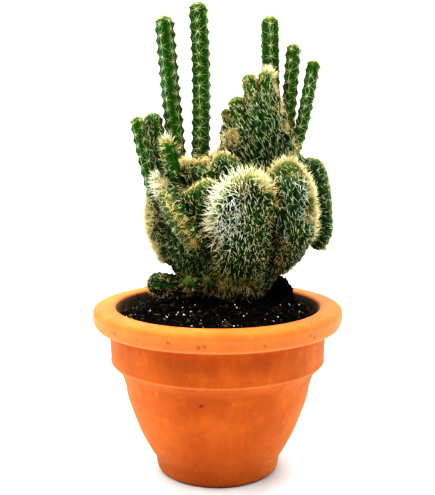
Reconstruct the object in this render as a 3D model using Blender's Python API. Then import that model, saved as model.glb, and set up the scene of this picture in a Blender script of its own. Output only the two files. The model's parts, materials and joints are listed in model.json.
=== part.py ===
"""A crested columnar cactus in a terracotta pot.

Built in metres, +Z up. The origin is on the pot's axis, on the surface it stands on.
The camera side of the object is -Y. Lengths below are in millimetres, and MM turns them
into metres where a mesh is made.

The pot is turned from one profile. The soil is one block that fills the pot, with a
mounded top and a plain oval hole for the stem. The plant is one solid: an oval stem,
crested fans with ribs that run up to a long ridge, slender ribbed shoots, and needles.
"""

import math
import random

import bmesh
import bpy
from mathutils import Matrix, Vector, noise

MM = 0.001
GAP = 0.3

# Pot: a common 150 mm bell pot, about two thirds as high as it is wide.
RIM_RADIUS = 75.0
POT_HEIGHT = 101.8
POT_STEPS = 44
DRAIN_RADIUS = 6.0
FLOOR_THICKNESS = 7.0

# Outer side of the pot from the top of the rim down to the foot, as radius and height.
POT_OUTSIDE = [
    (61.3, 101.2), (63.0, POT_HEIGHT), (68.0, 101.3), (72.3, 100.0), (RIM_RADIUS, 96.8),
    (74.4, 93.2), (71.6, 90.4), (66.2, 88.6), (65.1, 84.0), (64.7, 70.0),
    (63.3, 65.0), (58.2, 60.2), (56.8, 56.5), (54.8, 46.5), (51.3, 36.0),
    (47.4, 25.7), (41.3, 14.0), (38.4, 9.2), (37.1, 3.2), (34.0, 0.0),
]
# Inner wall from the floor up to the rim.
POT_INSIDE = [
    (29.5, FLOOR_THICKNESS), (37.0, 16.0), (45.0, 33.0), (52.0, 54.0), (58.0, 72.0),
    (59.4, 86.0), (60.5, 98.5),
]

# Soil: a mound from the pot's wall up to the stem, with crumbs, and one clod on the right.
SOIL_WALL_RADIUS = 58.9
SOIL_WALL_HEIGHT = 94.0
SOIL_STEM_HEIGHT = 106.5
SOIL_MOUND_POWER = 1.3
SOIL_RINGS = 9
CLOD_CENTRE = (38.5, 9.0)
CLOD_HEIGHT = 13.0
CLOD_SPREAD = 9.0
CRUMB_HEIGHT = 0.9
CRUMB_SIZES = (7.0, 3.5)
SOIL_CLEARANCE = 1.0

# Stem: the oval stump that stands in the soil, then wider ovals up into the crest.
STEM_CENTRE = (6.0, 0.0)
STEM_HALF_WIDTH = 23.0
STEM_HALF_DEPTH = 15.5
STEM_FOOT = 72.0
STUMP_TOP = 112.0

# Ovals of the trunk: height, centre x, centre y, half width, half depth.
TRUNK_STEPS = 32
TRUNK_PLAIN_LEVELS = 2
TRUNK_OVALS = [
    (108.5, 6, 0, 22, 15), (112, 6, 0, 25, 17), (124, 5, 0, 32, 20), (138, 6, 0, 38, 22),
    (152, 8, 0, 40, 21), (166, 10, 1, 38, 18), (178, 12, 1, 32, 13), (184, 13, 1, 20, 7),
]

# Ribs, and the slow waves that growth gives the crests. Depths are shares of a radius.
FAN_RIB_PITCH = 9.0
FAN_RIB_DEPTH = 0.09
FAN_END_STEPS = 4
FAN_FACE_LEVELS = 3
FAN_DOME_LEVELS = 2
FAN_ROOT_SHARE = 0.82
SHOOT_RIB_DEPTH = 0.1
SHOOT_RING_PITCH = 8.0
SHOOT_DOME_LEVELS = 3
BUMP_DEPTH = 0.07
WAVE_SIZE = 24.0
WAVE_HEIGHT = 1.6
CURVE_STEPS = 80
BODY_TRIANGLES = 6700

# Needles: the longest are on the crests, and short ones rise along the slender shoots.
NEEDLE_SPACING = 6.7
NEEDLE_ROOT_RADIUS = 0.45
NEEDLE_SUNK = 1.2
NEEDLE_LENGTHS = (6.0, 9.0)
NEEDLE_SPREAD = 0.3
NEEDLE_RISE = 0.15
SHOOT_NEEDLE_LENGTH = 5.0
SHOOT_NEEDLE_RISE = 0.5
SHOOT_NEEDLE_BAND = 2.0
SLENDER = 6.0
NEEDLE_SOIL_CLEARANCE = 9.0
NEEDLE_REACH = 74.4
SMALLEST_NEEDLE_FACE = 4.0
SEED = 7
WELD = 0.01

# Fans, as (ridge points, root points, half thickness, belly). A ridge runs along the fan's
# outermost edge, a root runs beside it inside the trunk, and a belly swells the sheet.
FANS = {
    "left_front": (
        [(-37, -2, 180), (-34, -14, 175), (-29, -23, 167), (-23, -30, 157),
         (-16, -31, 146), (-11, -26, 135)],
        [(-22, 4, 172), (-18, -6, 160), (-10, -8, 146), (-6, -6, 138)], 8.5, 0.0),
    "left_edge": (
        [(-36, 4, 180), (-41, 1, 168), (-42, -2, 152), (-36, -3, 136), (-28, -3, 123)],
        [(-20, 4, 170), (-20, 2, 158), (-16, 0, 146), (-10, 0, 134)], 8.0, 0.0),
    "left_hollow": (
        [(-29, 6, 184), (-22, 0, 187), (-13, -4, 187), (-4, -2, 187), (2, 4, 186)],
        [(-14, 2, 118), (2, 2, 117)], 11.0, 2.0),
    "left_knuckle": (
        [(-22, -14, 165), (-14, -21, 174), (-5, -22, 178), (3, -17, 172)],
        [(-14, -6, 128), (0, -6, 128)], 9.0, 0.0),
    "middle_thumb": (
        [(-6, -11, 178), (-2, -14, 189), (5, -14, 192), (11, -11, 184)],
        [(0, -4, 150), (8, -4, 150)], 7.5, 0.0),
    "middle_ridge": (
        [(-16, 7, 178), (-8, 5, 186), (0, 4, 193), (7, 4, 201), (13, 4, 212)],
        [(2, 2, 150), (14, 2, 152)], 8.0, 0.0),
    "upper_fan": (
        [(5, 2, 204), (10, 1, 217), (18, -1, 228), (26, -1, 232), (34, 2, 228),
         (39, 4, 216), (44, 4, 202), (48, 3, 186)],
        [(16, 0, 154), (34, 0, 152)], 9.0, 1.5),
    "front_dome": (
        [(-2, -24, 140), (-4, -31, 152), (-2, -36, 164), (4, -39, 174), (13, -40, 180),
         (23, -38, 180), (30, -34, 173), (32, -29, 160)],
        [(9, -21, 141), (9, -24, 152), (14, -26, 159), (21, -23, 153)], 9.0, 0.0),
    "right_front": (
        [(28, -22, 176), (35, -24, 186), (43, -24, 189), (50, -23, 184), (54, -22, 175),
         (57, -21, 163), (58, -19, 151), (53, -15, 139)],
        [(35, -15, 165), (40, -17, 169), (44, -15, 159), (40, -11, 145)], 9.0, 0.0),
    "right_outer": (
        [(44, 7, 186), (54, 6, 190), (62, 4, 187), (67, 2, 174), (69, 1, 158),
         (69, 0, 145), (64, 0, 136), (57, 1, 138)],
        [(42, 5, 174), (50, 4, 172), (54, 3, 158), (50, 2, 148)], 7.5, 0.0),
    "right_shoulder": (
        [(54, -4, 146), (50, -6, 136), (44, -7, 127), (37, -6, 119)],
        [(30, -1, 140), (26, 0, 126)], 9.0, 0.0),
    "front_pups": (
        [(-1, -21, 113), (4, -23, 119), (12, -23, 122), (22, -20, 119)],
        [(4, -11, 110), (18, -11, 110)], 5.0, 0.0),
    "back_left": (
        [(-30, 14, 136), (-37, 22, 150), (-37, 26, 166), (-29, 26, 178), (-15, 22, 183)],
        [(-16, 6, 136), (-18, 8, 150), (-16, 10, 162), (-8, 8, 168)], 9.5, 0.0),
    "back_dome": (
        [(-12, 30, 150), (-9, 37, 168), (-1, 39, 183), (11, 38, 192), (25, 35, 190),
         (34, 31, 176)],
        [(0, 6, 121), (17, 6, 121)], 10.5, -2.0),
    "back_right": (
        [(32, 24, 174), (40, 27, 183), (50, 26, 180), (57, 24, 167), (58, 21, 150),
         (50, 17, 136)],
        [(35, 16, 163), (40, 18, 167), (43, 16, 156), (39, 12, 143)], 9.5, 0.0),
}

# Shoots, as (centre line from the root to the tip, radius, number of ribs).
SHOOTS = {
    "tall_left": ([(-23, 6, 168), (-26, 9, 207), (-29, 10, 240), (-31.5, 8, 272)], 4.7, 8),
    "tall_middle": ([(-11, 6, 170), (-10, 9, 208), (-10, 9, 245), (-11.6, 8, 280)], 4.7, 8),
    "tall_right": ([(33, 8, 200), (31.5, 10, 235), (30.5, 9, 272)], 4.6, 8),
    "right_inner": ([(40, 5, 185), (42, 6, 216), (44.7, 6, 256)], 3.7, 8),
    "right_slim": ([(42, 4, 185), (50, 4, 210), (56.6, 4, 246.5)], 3.4, 8),
    "left_finger_outer": ([(-37, -1, 166), (-43, -2, 191), (-47.4, -2, 213.5)], 3.5, 8),
    "left_finger": ([(-30, 4, 168), (-35.5, 6, 194), (-39, 6, 216)], 4.7, 8),
    "left_thumb": ([(-22, -8, 168), (-26, -13, 186), (-29, -15, 200)], 3.4, 8),
    "fan_finger_low": ([(12, 2, 196), (9, 2, 206), (4, 2, 218)], 3.0, 8),
    "fan_finger": ([(17, -2, 202), (13, -2, 214), (10, -2, 225)], 4.4, 8),
    "fan_finger_high": ([(23, -3, 212), (20, -4, 226), (17.8, -4, 238)], 3.9, 8),
    "fan_finger_top": ([(28, -3, 214), (28, -4, 228), (28, -4, 240)], 4.2, 8),
    "crest_knob": ([(-16, -4, 174), (-18.5, -6, 189)], 4.4, 8),
    "front_head": ([(9, -6, 114), (11, -12, 134), (14, -22, 154), (14, -26, 178)], 16.5, 16),
    "right_head": ([(36, -12, 140), (39, -22, 160), (41, -27, 182)], 9.5, 12),
    "right_cheek": ([(34, -10, 132), (42, -18, 142), (49, -24, 158)], 9.5, 12),
    "left_pup": ([(-18, -3, 113), (-28, -5, 114), (-42, -6, 116)], 6.5, 8),
    "front_pup": ([(-13, -10, 113.5), (-16.5, -21, 121)], 4.6, 8),
    "middle_pup": ([(-4, -12, 113.5), (-5.5, -22, 122.5)], 4.6, 8),
}


def material(name, hex_colour, roughness):
    """A plain Principled material with a colour given as sRGB hex."""
    made = bpy.data.materials.new(name)
    made.use_nodes = True
    channels = [int(hex_colour[i:i + 2], 16) / 255 for i in (0, 2, 4)]
    linear = [c / 12.92 if c <= 0.04045 else ((c + 0.055) / 1.055) ** 2.4 for c in channels]
    shader = made.node_tree.nodes["Principled BSDF"]
    shader.inputs["Base Color"].default_value = (*linear, 1)
    shader.inputs["Roughness"].default_value = roughness
    shader.inputs["Metallic"].default_value = 0
    made.diffuse_color = (*linear, 1)
    return made


def add_object(name, bm, finish):
    """Turns a bmesh in millimetres into an object in metres."""
    bmesh.ops.recalc_face_normals(bm, faces=bm.faces)
    bmesh.ops.scale(bm, vec=(MM, MM, MM), verts=bm.verts)
    mesh = bpy.data.meshes.new(name)
    bm.to_mesh(mesh)
    bm.free()
    if finish:
        mesh.materials.append(finish)
    made = bpy.data.objects.new(name, mesh)
    bpy.context.scene.collection.objects.link(made)
    return made


def formed_grid(around, along, place):
    """A closed skin: a grid whose every point is put where place(round, level) says.

    Points that fall together, at the seam and at both ends, are welded.
    """
    bm = bmesh.new()
    bmesh.ops.create_grid(bm, x_segments=around, y_segments=along, size=0.5)
    for vert in bm.verts:
        turn = round((vert.co.x + 0.5) * around) % around
        level = round((vert.co.y + 0.5) * along)
        vert.co = place(turn, level)
    bmesh.ops.remove_doubles(bm, verts=bm.verts, dist=WELD)
    return bm


def smooth_point(points, fraction):
    """The point at a fraction of the way along a smooth curve through points."""
    last = len(points) - 1
    place = min(max(fraction, 0.0), 1.0) * last
    i = min(int(place), last - 1)
    u = place - i
    a, b, c, d = (Vector(points[min(max(i + step, 0), last)]) for step in (-1, 0, 1, 2))
    return 0.5 * (2 * b + (c - a) * u + (2 * a - 5 * b + 4 * c - d) * u ** 2
                  + (3 * b - a - 3 * c + d) * u ** 3)


def even_points(points, count, inset):
    """count + 1 evenly spaced points on the curve, which starts and ends inset from its ends."""
    fine = [smooth_point(points, i / CURVE_STEPS) for i in range(CURVE_STEPS + 1)]
    reached = [0.0]
    for before, after in zip(fine, fine[1:]):
        reached.append(reached[-1] + (after - before).length)
    inset = min(inset, 0.4 * reached[-1])
    made = []
    for i in range(count + 1):
        goal = inset + (reached[-1] - 2 * inset) * i / count
        k = next(k for k in range(1, CURVE_STEPS + 1) if reached[k] >= goal - WELD * WELD)
        share = (goal - reached[k - 1]) / (reached[k] - reached[k - 1])
        made.append(fine[k - 1].lerp(fine[k], share))
    return made


def curve_length(points):
    """The length of the smooth curve through points."""
    fine = [smooth_point(points, i / CURVE_STEPS) for i in range(CURVE_STEPS + 1)]
    return sum((after - before).length for before, after in zip(fine, fine[1:]))


def waved(point):
    """A point moved a little by a slow three-way wave, so that no surface is ruled."""
    return point + noise.noise_vector(point / WAVE_SIZE) * WAVE_HEIGHT


def soil_height(x, y):
    """Height of the soil's top: a mound round the stem, with low crumbs and one clod."""
    outward = min(stem_distance(x, y), 1.0)
    fall = outward ** SOIL_MOUND_POWER
    mound = SOIL_STEM_HEIGHT + (SOIL_WALL_HEIGHT - SOIL_STEM_HEIGHT) * fall
    crumbs = sum(noise.noise(Vector((x / size, y / size, size))) for size in CRUMB_SIZES)
    flat_at_edges = min(1.0, 4 * (1 - outward), 3 * outward)
    away = math.hypot(x - CLOD_CENTRE[0], y - CLOD_CENTRE[1])
    clod = CLOD_HEIGHT * math.exp(-(away / CLOD_SPREAD) ** 4)
    return mound + CRUMB_HEIGHT * crumbs * flat_at_edges + clod


def stem_distance(x, y):
    """0 on the edge of the stem's oval and 1 at the pot's wall."""
    away = math.hypot((x - STEM_CENTRE[0]) / STEM_HALF_WIDTH,
                      (y - STEM_CENTRE[1]) / STEM_HALF_DEPTH)
    if away <= 1:
        return 0.0
    wall = max(0.0, SOIL_WALL_RADIUS - math.hypot(x, y))
    edge = math.hypot(x - STEM_CENTRE[0], y - STEM_CENTRE[1]) * (1 - 1 / away)
    return edge / (edge + wall)


def stem_oval(turn, grown):
    """A point of the stem's oval, grown outward by a clearance."""
    angle = 2 * math.pi * turn / POT_STEPS
    return Vector((STEM_CENTRE[0] + (STEM_HALF_WIDTH + grown) * math.cos(angle),
                   STEM_CENTRE[1] + (STEM_HALF_DEPTH + grown) * math.sin(angle), 0))


def above_soil(point):
    """A point of the plant, kept clear of the soil that it leans over."""
    lowest = soil_height(point.x, point.y) + SOIL_CLEARANCE
    return Vector((point.x, point.y, max(point.z, lowest)))


def build_pot(finish):
    """The pot: its wall's profile, closed round the drain hole's edge, spun full circle."""
    foot = [(DRAIN_RADIUS, 0.0), (DRAIN_RADIUS, FLOOR_THICKNESS)]
    profile = POT_OUTSIDE + foot + POT_INSIDE
    bm = bmesh.new()
    verts = [bm.verts.new((radius, 0, height)) for radius, height in profile]
    edges = [bm.edges.new((a, b)) for a, b in zip(verts, verts[1:] + verts[:1])]
    bmesh.ops.spin(bm, geom=verts + edges, cent=(0, 0, 0), axis=(0, 0, 1),
                   angle=2 * math.pi, steps=POT_STEPS, use_merge=True)
    bmesh.ops.remove_doubles(bm, verts=bm.verts, dist=WELD)
    pot = add_object("pot", bm, finish)
    pot.data.shade_smooth()
    pot.data.set_sharp_from_angle(angle=math.radians(40))
    return pot


def build_soil(finish):
    """The soil: rings from the stem's hole over the mound, down the pot's wall and back in."""
    wall = [(r, z) for r, z in POT_INSIDE if z < SOIL_WALL_HEIGHT][::-1]
    side_gap = GAP * math.sqrt(2)
    hole_levels = 2
    along = hole_levels + SOIL_RINGS + len(wall) + 1
    hole_floor = STEM_FOOT - GAP

    def place(turn, level):
        """Level 0 is the hole's floor, then its edge, its mouth, the mound and the wall."""
        angle = 2 * math.pi * turn / POT_STEPS
        mouth = stem_oval(turn, GAP)
        if level == 0:
            return Vector((STEM_CENTRE[0], STEM_CENTRE[1], hole_floor))
        if level == 1:
            return Vector((mouth.x, mouth.y, hole_floor))
        level -= hole_levels
        edge = Vector((math.cos(angle), math.sin(angle), 0))
        if level <= SOIL_RINGS:
            at = mouth.lerp(edge * (SOIL_WALL_RADIUS - GAP), level / SOIL_RINGS)
            at.z = soil_height(at.x, at.y)
            return at
        level -= SOIL_RINGS
        if level <= len(wall):
            radius, height = wall[level - 1]
            lift = GAP if level == len(wall) else 0.0
            return edge * (radius - side_gap) + Vector((0, 0, height + lift))
        return Vector((0, 0, FLOOR_THICKNESS + GAP))

    bm = formed_grid(POT_STEPS, along, place)
    return add_object("soil", bm, finish)


def build_stump():
    """The smooth oval foot of the stem, which stands in the soil's hole."""
    def place(turn, level):
        """Both ends close on the middle of the oval."""
        edge = stem_oval(turn, 0)
        if level in (0, 3):
            edge = Vector((*STEM_CENTRE, 0))
        edge.z = STEM_FOOT if level < 2 else STUMP_TOP
        return edge

    return add_object("cactus", formed_grid(POT_STEPS, 3, place), None)


def build_trunk():
    """The flattened trunk: ribbed ovals that widen into the crest."""
    last = len(TRUNK_OVALS) - 1

    def place(turn, level):
        """The first and last levels close on the middle of their oval."""
        height, x, y, wide, deep = TRUNK_OVALS[min(max(level - 1, 0), last)]
        rib = 1 + FAN_RIB_DEPTH * (1 if turn % 2 else -1) * (level > TRUNK_PLAIN_LEVELS)
        if level in (0, last + 2):
            rib = 0.0
        angle = 2 * math.pi * turn / TRUNK_STEPS
        at = Vector((x + wide * rib * math.cos(angle), y + deep * rib * math.sin(angle), height))
        return above_soil(at)

    return add_object("trunk", formed_grid(TRUNK_STEPS, last + 2, place), None)


def build_fan(name, ridge, root, thick, belly):
    """A crested fan: a sheet from root to ridge, ribbed on both faces, with a domed edge.

    Ribs go up the front face, round one end, down the back face and round the other end.
    """
    cap = FAN_END_STEPS
    run = max(2, 2 * round((curve_length(ridge) - 2 * thick) / FAN_RIB_PITCH))
    tips = even_points(ridge, run, thick)
    feet = even_points(root, run, 0.5 * thick)
    tops = [tip - (tip - foot).normalized() * thick for tip, foot in zip(tips, feet)]

    def sheet(i, t):
        """The middle of the sheet at rib line i and height t, and its side and up vectors."""
        before, after = max(i - 1, 0), min(i + 1, run)
        side = feet[after].lerp(tops[after], t) - feet[before].lerp(tops[before], t)
        up = (tops[i] - feet[i]).normalized()
        side = (side - up * side.dot(up)).normalized()
        front = side.cross(up)
        middle = feet[i].lerp(tops[i], t) + front * belly * 4 * t * (1 - t)
        return middle, side, up, front

    def place(turn, level):
        """Level 0 closes the root, then come the faces, then the dome over the ridge."""
        if turn < run:
            i, angle = turn, 0.0
        elif turn < run + cap:
            i, angle = run, math.pi * (turn - run) / cap
        elif turn < 2 * run + cap:
            i, angle = 2 * run + cap - turn, math.pi
        else:
            i, angle = 0, math.pi * (1 + (turn - 2 * run - cap) / cap)
        t = min(max(level - 1, 0) / FAN_FACE_LEVELS, 1.0)
        over = max(level - 1 - FAN_FACE_LEVELS, 0) / FAN_DOME_LEVELS * math.pi / 2
        middle, side, up, front = sheet(i, t)
        rib = 1 + FAN_RIB_DEPTH * (1 if turn % 2 == 0 else -1)
        swell = thick * rib * (FAN_ROOT_SHARE + (1 - FAN_ROOT_SHARE) * math.sin(math.pi * t))
        out = 0.0 if level == 0 else swell * math.cos(over)
        at = middle + (front * math.cos(angle) + side * math.sin(angle)) * out
        crown = 1 + FAN_RIB_DEPTH * (1 if i % 2 == 0 else -1)
        return above_soil(waved(at + up * thick * crown * math.sin(over)))

    skin = formed_grid(2 * (run + cap), 1 + FAN_FACE_LEVELS + FAN_DOME_LEVELS, place)
    return add_object(name, skin, None)


def build_shoot(name, line, radius, ribs):
    """A round shoot: ribs with bumps that step from rib to rib, and a round tip."""
    around = 2 * ribs
    rings = max(2, round((curve_length(line) - radius) / SHOOT_RING_PITCH))
    centres = even_points(line, rings, 0.0)
    tip_way = (centres[-1] - centres[-2]).normalized()
    shift = tip_way * radius
    centres = [c - shift * (i / rings) for i, c in enumerate(centres)]

    def place(turn, level):
        """Level 0 closes the root, then come the rings, then the dome at the tip."""
        i = min(max(level - 1, 0), rings)
        before, after = max(i - 1, 0), min(i + 1, rings)
        up = (centres[after] - centres[before]).normalized()
        side = up.orthogonal() if abs(up.z) < 0.2 else Vector((1, 0, 0))
        side = (side - up * side.dot(up)).normalized()
        other = up.cross(side)
        over = max(level - 1 - rings, 0) / SHOOT_DOME_LEVELS * math.pi / 2
        angle = 2 * math.pi * turn / around
        rib = 1 + SHOOT_RIB_DEPTH * (1 if turn % 2 == 0 else -1)
        step = 1 if (turn // 2 + level) % 2 else -1
        rib += BUMP_DEPTH * step * (turn % 2 == 0)
        out = 0.0 if level == 0 else radius * rib * math.cos(over)
        at = centres[i] + (side * math.cos(angle) + other * math.sin(angle)) * out
        return above_soil(at + up * radius * math.sin(over))

    skin = formed_grid(around, 1 + rings + SHOOT_DOME_LEVELS, place)
    return add_object(name, skin, None)


def evaluate(base):
    """Replaces an object's mesh by what its modifiers make of it, and drops the modifiers."""
    bpy.context.view_layer.update()
    shaped = base.evaluated_get(bpy.context.evaluated_depsgraph_get())
    mesh = bpy.data.meshes.new_from_object(shaped)
    base.modifiers.clear()
    base.data = mesh


def join(base, pieces):
    """Unites every piece with base by one Boolean on a collection, and removes the pieces."""
    group = bpy.data.collections.new("joined")
    bpy.context.scene.collection.children.link(group)
    for piece in pieces:
        group.objects.link(piece)
    union = base.modifiers.new("union", "BOOLEAN")
    union.operation = "UNION"
    union.operand_type = "COLLECTION"
    union.collection = group
    union.solver = "MANIFOLD"
    evaluate(base)
    for piece in pieces:
        bpy.data.objects.remove(piece)
    bpy.data.collections.remove(group)
    keep_outer_shell(base)


def thin(base, triangles):
    """Collapses the smallest facets until about this many triangles are left."""
    collapse = base.modifiers.new("thin", "DECIMATE")
    collapse.ratio = triangles / len(base.data.polygons)
    evaluate(base)


def keep_outer_shell(base):
    """Keeps the largest shell, which fills sealed hollows and drops loose scraps."""
    bm = bmesh.new()
    bm.from_mesh(base.data)
    bmesh.ops.triangulate(bm, faces=bm.faces)
    unseen = set(bm.faces)
    shells = []
    while unseen:
        shell = {unseen.pop()}
        waiting = list(shell)
        while waiting:
            face = waiting.pop()
            near = {other for edge in face.edges for other in edge.link_faces} & unseen
            unseen -= near
            shell |= near
            waiting.extend(near)
        shells.append(shell)
    largest = max(shells, key=len)
    scraps = [face for shell in shells if shell is not largest for face in shell]
    bmesh.ops.delete(bm, geom=scraps, context="FACES")
    bm.to_mesh(base.data)
    bm.free()


def needle(name, root, way, length):
    """A three-sided needle with its root sunk in the skin."""
    bm = bmesh.new()
    turn = Vector((0, 0, 1)).rotation_difference(way).to_matrix().to_4x4()
    middle = root + way * (length / 2 - NEEDLE_SUNK)
    bmesh.ops.create_cone(bm, cap_ends=True, segments=3, radius1=NEEDLE_ROOT_RADIUS, radius2=0.0,
                          depth=length, matrix=Matrix.Translation(middle) @ turn)
    bmesh.ops.remove_doubles(bm, verts=bm.verts, dist=WELD)
    return add_object(name, bm, None)


def needle_places(body):
    """Evenly spaced points on the skin, each with its needle's direction and length."""
    bm = bmesh.new()
    bm.from_mesh(body.data)
    bm.normal_update()
    draw = random.Random(SEED)
    faces = [(face.calc_center_median() / MM, face.normal.copy()) for face in bm.faces
             if face.calc_area() > SMALLEST_NEEDLE_FACE * MM ** 2]
    bm.free()
    draw.shuffle(faces)
    kept = []
    for at, way in faces:
        on_shoot = shoot_distance(at) < SHOOT_NEEDLE_BAND
        length = SHOOT_NEEDLE_LENGTH if on_shoot else draw.uniform(*NEEDLE_LENGTHS)
        rise = SHOOT_NEEDLE_RISE if on_shoot else NEEDLE_RISE
        spread = Vector([draw.uniform(-NEEDLE_SPREAD, NEEDLE_SPREAD) for axis in range(3)])
        way = (way + spread + Vector((0, 0, rise))).normalized()
        tip = at + way * length
        clear = min(at.z - soil_height(at.x, at.y), tip.z - soil_height(tip.x, tip.y))
        if clear < NEEDLE_SOIL_CLEARANCE or abs(tip.x) > NEEDLE_REACH:
            continue
        if all((at - other).length > NEEDLE_SPACING for other, _, _ in kept):
            kept.append((at, way, length))
    return kept


def shoot_distance(point):
    """How far a point is outside the nearest slender shoot's upper half."""
    away = []
    for line, radius, _ in SHOOTS.values():
        if radius > SLENDER:
            continue
        nearest = min((point - smooth_point(line, i / 16)).length for i in range(8, 17))
        away.append(nearest - radius)
    return min(away)


def build_cactus(finish):
    """The whole plant as one solid, first its body and then the needles on it."""
    cactus = build_stump()
    parts = [build_trunk()]
    parts += [build_fan(name, *shape) for name, shape in FANS.items()]
    parts += [build_shoot(name, *shape) for name, shape in SHOOTS.items()]
    join(cactus, parts)
    thin(cactus, BODY_TRIANGLES)
    needles = [needle(f"needle_{i}", *place) for i, place in enumerate(needle_places(cactus))]
    join(cactus, needles)
    cactus.data.materials.clear()
    cactus.data.materials.append(finish)
    return cactus


def main():
    """Clears the scene and builds the three pieces."""
    for old in list(bpy.data.objects):
        bpy.data.objects.remove(old)
    noise.seed_set(SEED)
    build_pot(material("terracotta", "D9601F", 0.85))
    build_soil(material("peat_soil", "1A120C", 0.95))
    build_cactus(material("cactus_green", "3F5B2A", 0.6))


main()
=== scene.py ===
"""A crested columnar cactus in a terracotta pot, with its fine skin, spines, soil and clay.

Lengths below are in millimetres on the frame's axes. The pot stands at the origin and the
camera looks along +Y. MM, which is taken from the pot in the frame, turns them into metres.
"""

import json
import math

import bmesh
import bpy
import numpy as np
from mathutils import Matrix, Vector, noise
from mathutils.bvhtree import BVHTree
from mathutils.kdtree import KDTree

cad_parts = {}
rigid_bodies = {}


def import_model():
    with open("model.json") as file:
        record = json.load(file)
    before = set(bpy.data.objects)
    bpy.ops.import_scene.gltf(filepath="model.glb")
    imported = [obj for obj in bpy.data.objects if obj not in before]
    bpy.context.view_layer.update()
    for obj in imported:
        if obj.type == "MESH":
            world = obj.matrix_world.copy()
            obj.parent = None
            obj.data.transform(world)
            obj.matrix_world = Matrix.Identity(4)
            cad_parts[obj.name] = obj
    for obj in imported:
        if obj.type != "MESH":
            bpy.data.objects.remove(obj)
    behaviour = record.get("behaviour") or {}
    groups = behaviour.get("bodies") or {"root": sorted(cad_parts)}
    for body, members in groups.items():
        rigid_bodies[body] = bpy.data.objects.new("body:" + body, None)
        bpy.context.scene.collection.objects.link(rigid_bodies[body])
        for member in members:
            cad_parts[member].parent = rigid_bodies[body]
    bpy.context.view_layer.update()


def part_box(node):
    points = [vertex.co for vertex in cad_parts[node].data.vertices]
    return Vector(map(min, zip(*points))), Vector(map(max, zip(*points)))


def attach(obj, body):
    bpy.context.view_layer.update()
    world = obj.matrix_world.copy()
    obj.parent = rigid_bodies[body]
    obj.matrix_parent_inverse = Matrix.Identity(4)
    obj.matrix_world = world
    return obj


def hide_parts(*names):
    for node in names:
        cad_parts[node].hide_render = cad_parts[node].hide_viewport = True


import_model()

pot_low, pot_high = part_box("pot")
POT_WIDTH = 150.0
MM = (pot_high.x - pot_low.x) / POT_WIDTH
SEED = 7
draw = np.random.default_rng(SEED)
noise.seed_set(SEED)

# The studio: a white table in a white tent, with one broad soft lamp above it, one on either
# side and one over the table's far end. The camera stands half a metre off, a little above.
IMAGE_HEIGHT = 495
FOCAL_PIXELS = 845.8
SENSOR = 36.0
CAMERA_AT = (0.0, -501.5, 211.5)
CAMERA_DOWN = 8.54
CAMERA_SHIFT = -0.2
TENT_LIGHT = 0.17
TENT_SEEN = 1.2
TOP_LAMP = (16.5, 800.0, (-60.0, -150.0, 760.0))
LEFT_LAMP = (5.5, 500.0, (-800.0, 250.0, 300.0))
RIGHT_LAMP = (5.5, 500.0, (800.0, 250.0, 300.0))
SIDE_COLOUR = (0.7, 1.05, 1.2)
FAR_LAMP = (90.0, 2600.0, (0.0, 2300.0, 1300.0))
LAMP_AIM_HEIGHT = 130.0
LAMP_AIM_FURTHEST = 1900.0
TABLE_WIDTH = 6000.0
# The table fades to plain white between these distances, as overexposed paper does.
TABLE_FADE = (250.0, 700.0)


def linear(hex_colour):
    """A colour given as sRGB hex, as the linear colour that Blender reads."""
    channels = [int(hex_colour[i:i + 2], 16) / 255 for i in (0, 2, 4)]
    curved = [c / 12.92 if c <= 0.04045 else ((c + 0.055) / 1.055) ** 2.4 for c in channels]
    return (*curved, 1.0)


def new_material(name):
    """An empty Principled material, with its node tree and its shader."""
    made = bpy.data.materials.new(name)
    made.use_nodes = True
    return made, made.node_tree, made.node_tree.nodes["Principled BSDF"]


def set_node(tree, node, settings):
    """Sets a node's properties and sockets. A value that is another node or one of its sockets
    is linked in: a node by its output Fac, or by the first of its outputs that is in use."""
    for name, value in settings.items():
        if isinstance(value, bpy.types.Node):
            value = value.outputs.get("Fac") or next(out for out in value.outputs if out.enabled)
        if name == "stops":
            ramp = node.color_ramp
            while len(ramp.elements) < len(value):
                ramp.elements.new(0.5)
            for stop, (place, colour) in zip(ramp.elements, value):
                stop.position = place
                stop.color = linear(colour)
        elif isinstance(value, bpy.types.NodeSocket):
            tree.links.new(value, node.inputs[name])
        elif isinstance(name, int) or name in node.inputs:
            node.inputs[name].default_value = value
        else:
            setattr(node, name, value)


def add_node(tree, kind, settings):
    """Adds a node with its settings and links."""
    made = tree.nodes.new("ShaderNode" + kind)
    set_node(tree, made, settings)
    return made


def add_lamp(name, lamp, colour=(1.0, 1.0, 1.0)):
    """A square soft lamp, as watts, width and place. It faces the point of the pot's mid plane
    that lies at its own distance, or at the furthest distance allowed."""
    strength, width, place = lamp
    data = bpy.data.lights.new(name, "AREA")
    data.size = width * MM
    data.energy = strength
    data.color = colour
    made = bpy.data.objects.new(name, data)
    made.location = Vector(place) * MM
    aim = Vector((0, min(place[1], LAMP_AIM_FURTHEST), LAMP_AIM_HEIGHT)) * MM - made.location
    made.rotation_euler = aim.to_track_quat("-Z", "Y").to_euler()
    bpy.context.scene.collection.objects.link(made)


def finish_mesh(name, bm):
    """Turns a bmesh in millimetres into a smooth mesh in metres."""
    bmesh.ops.scale(bm, vec=(MM, MM, MM), verts=bm.verts)
    mesh = bpy.data.meshes.new(name)
    bm.to_mesh(mesh)
    bm.free()
    mesh.shade_smooth()
    return mesh


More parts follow.
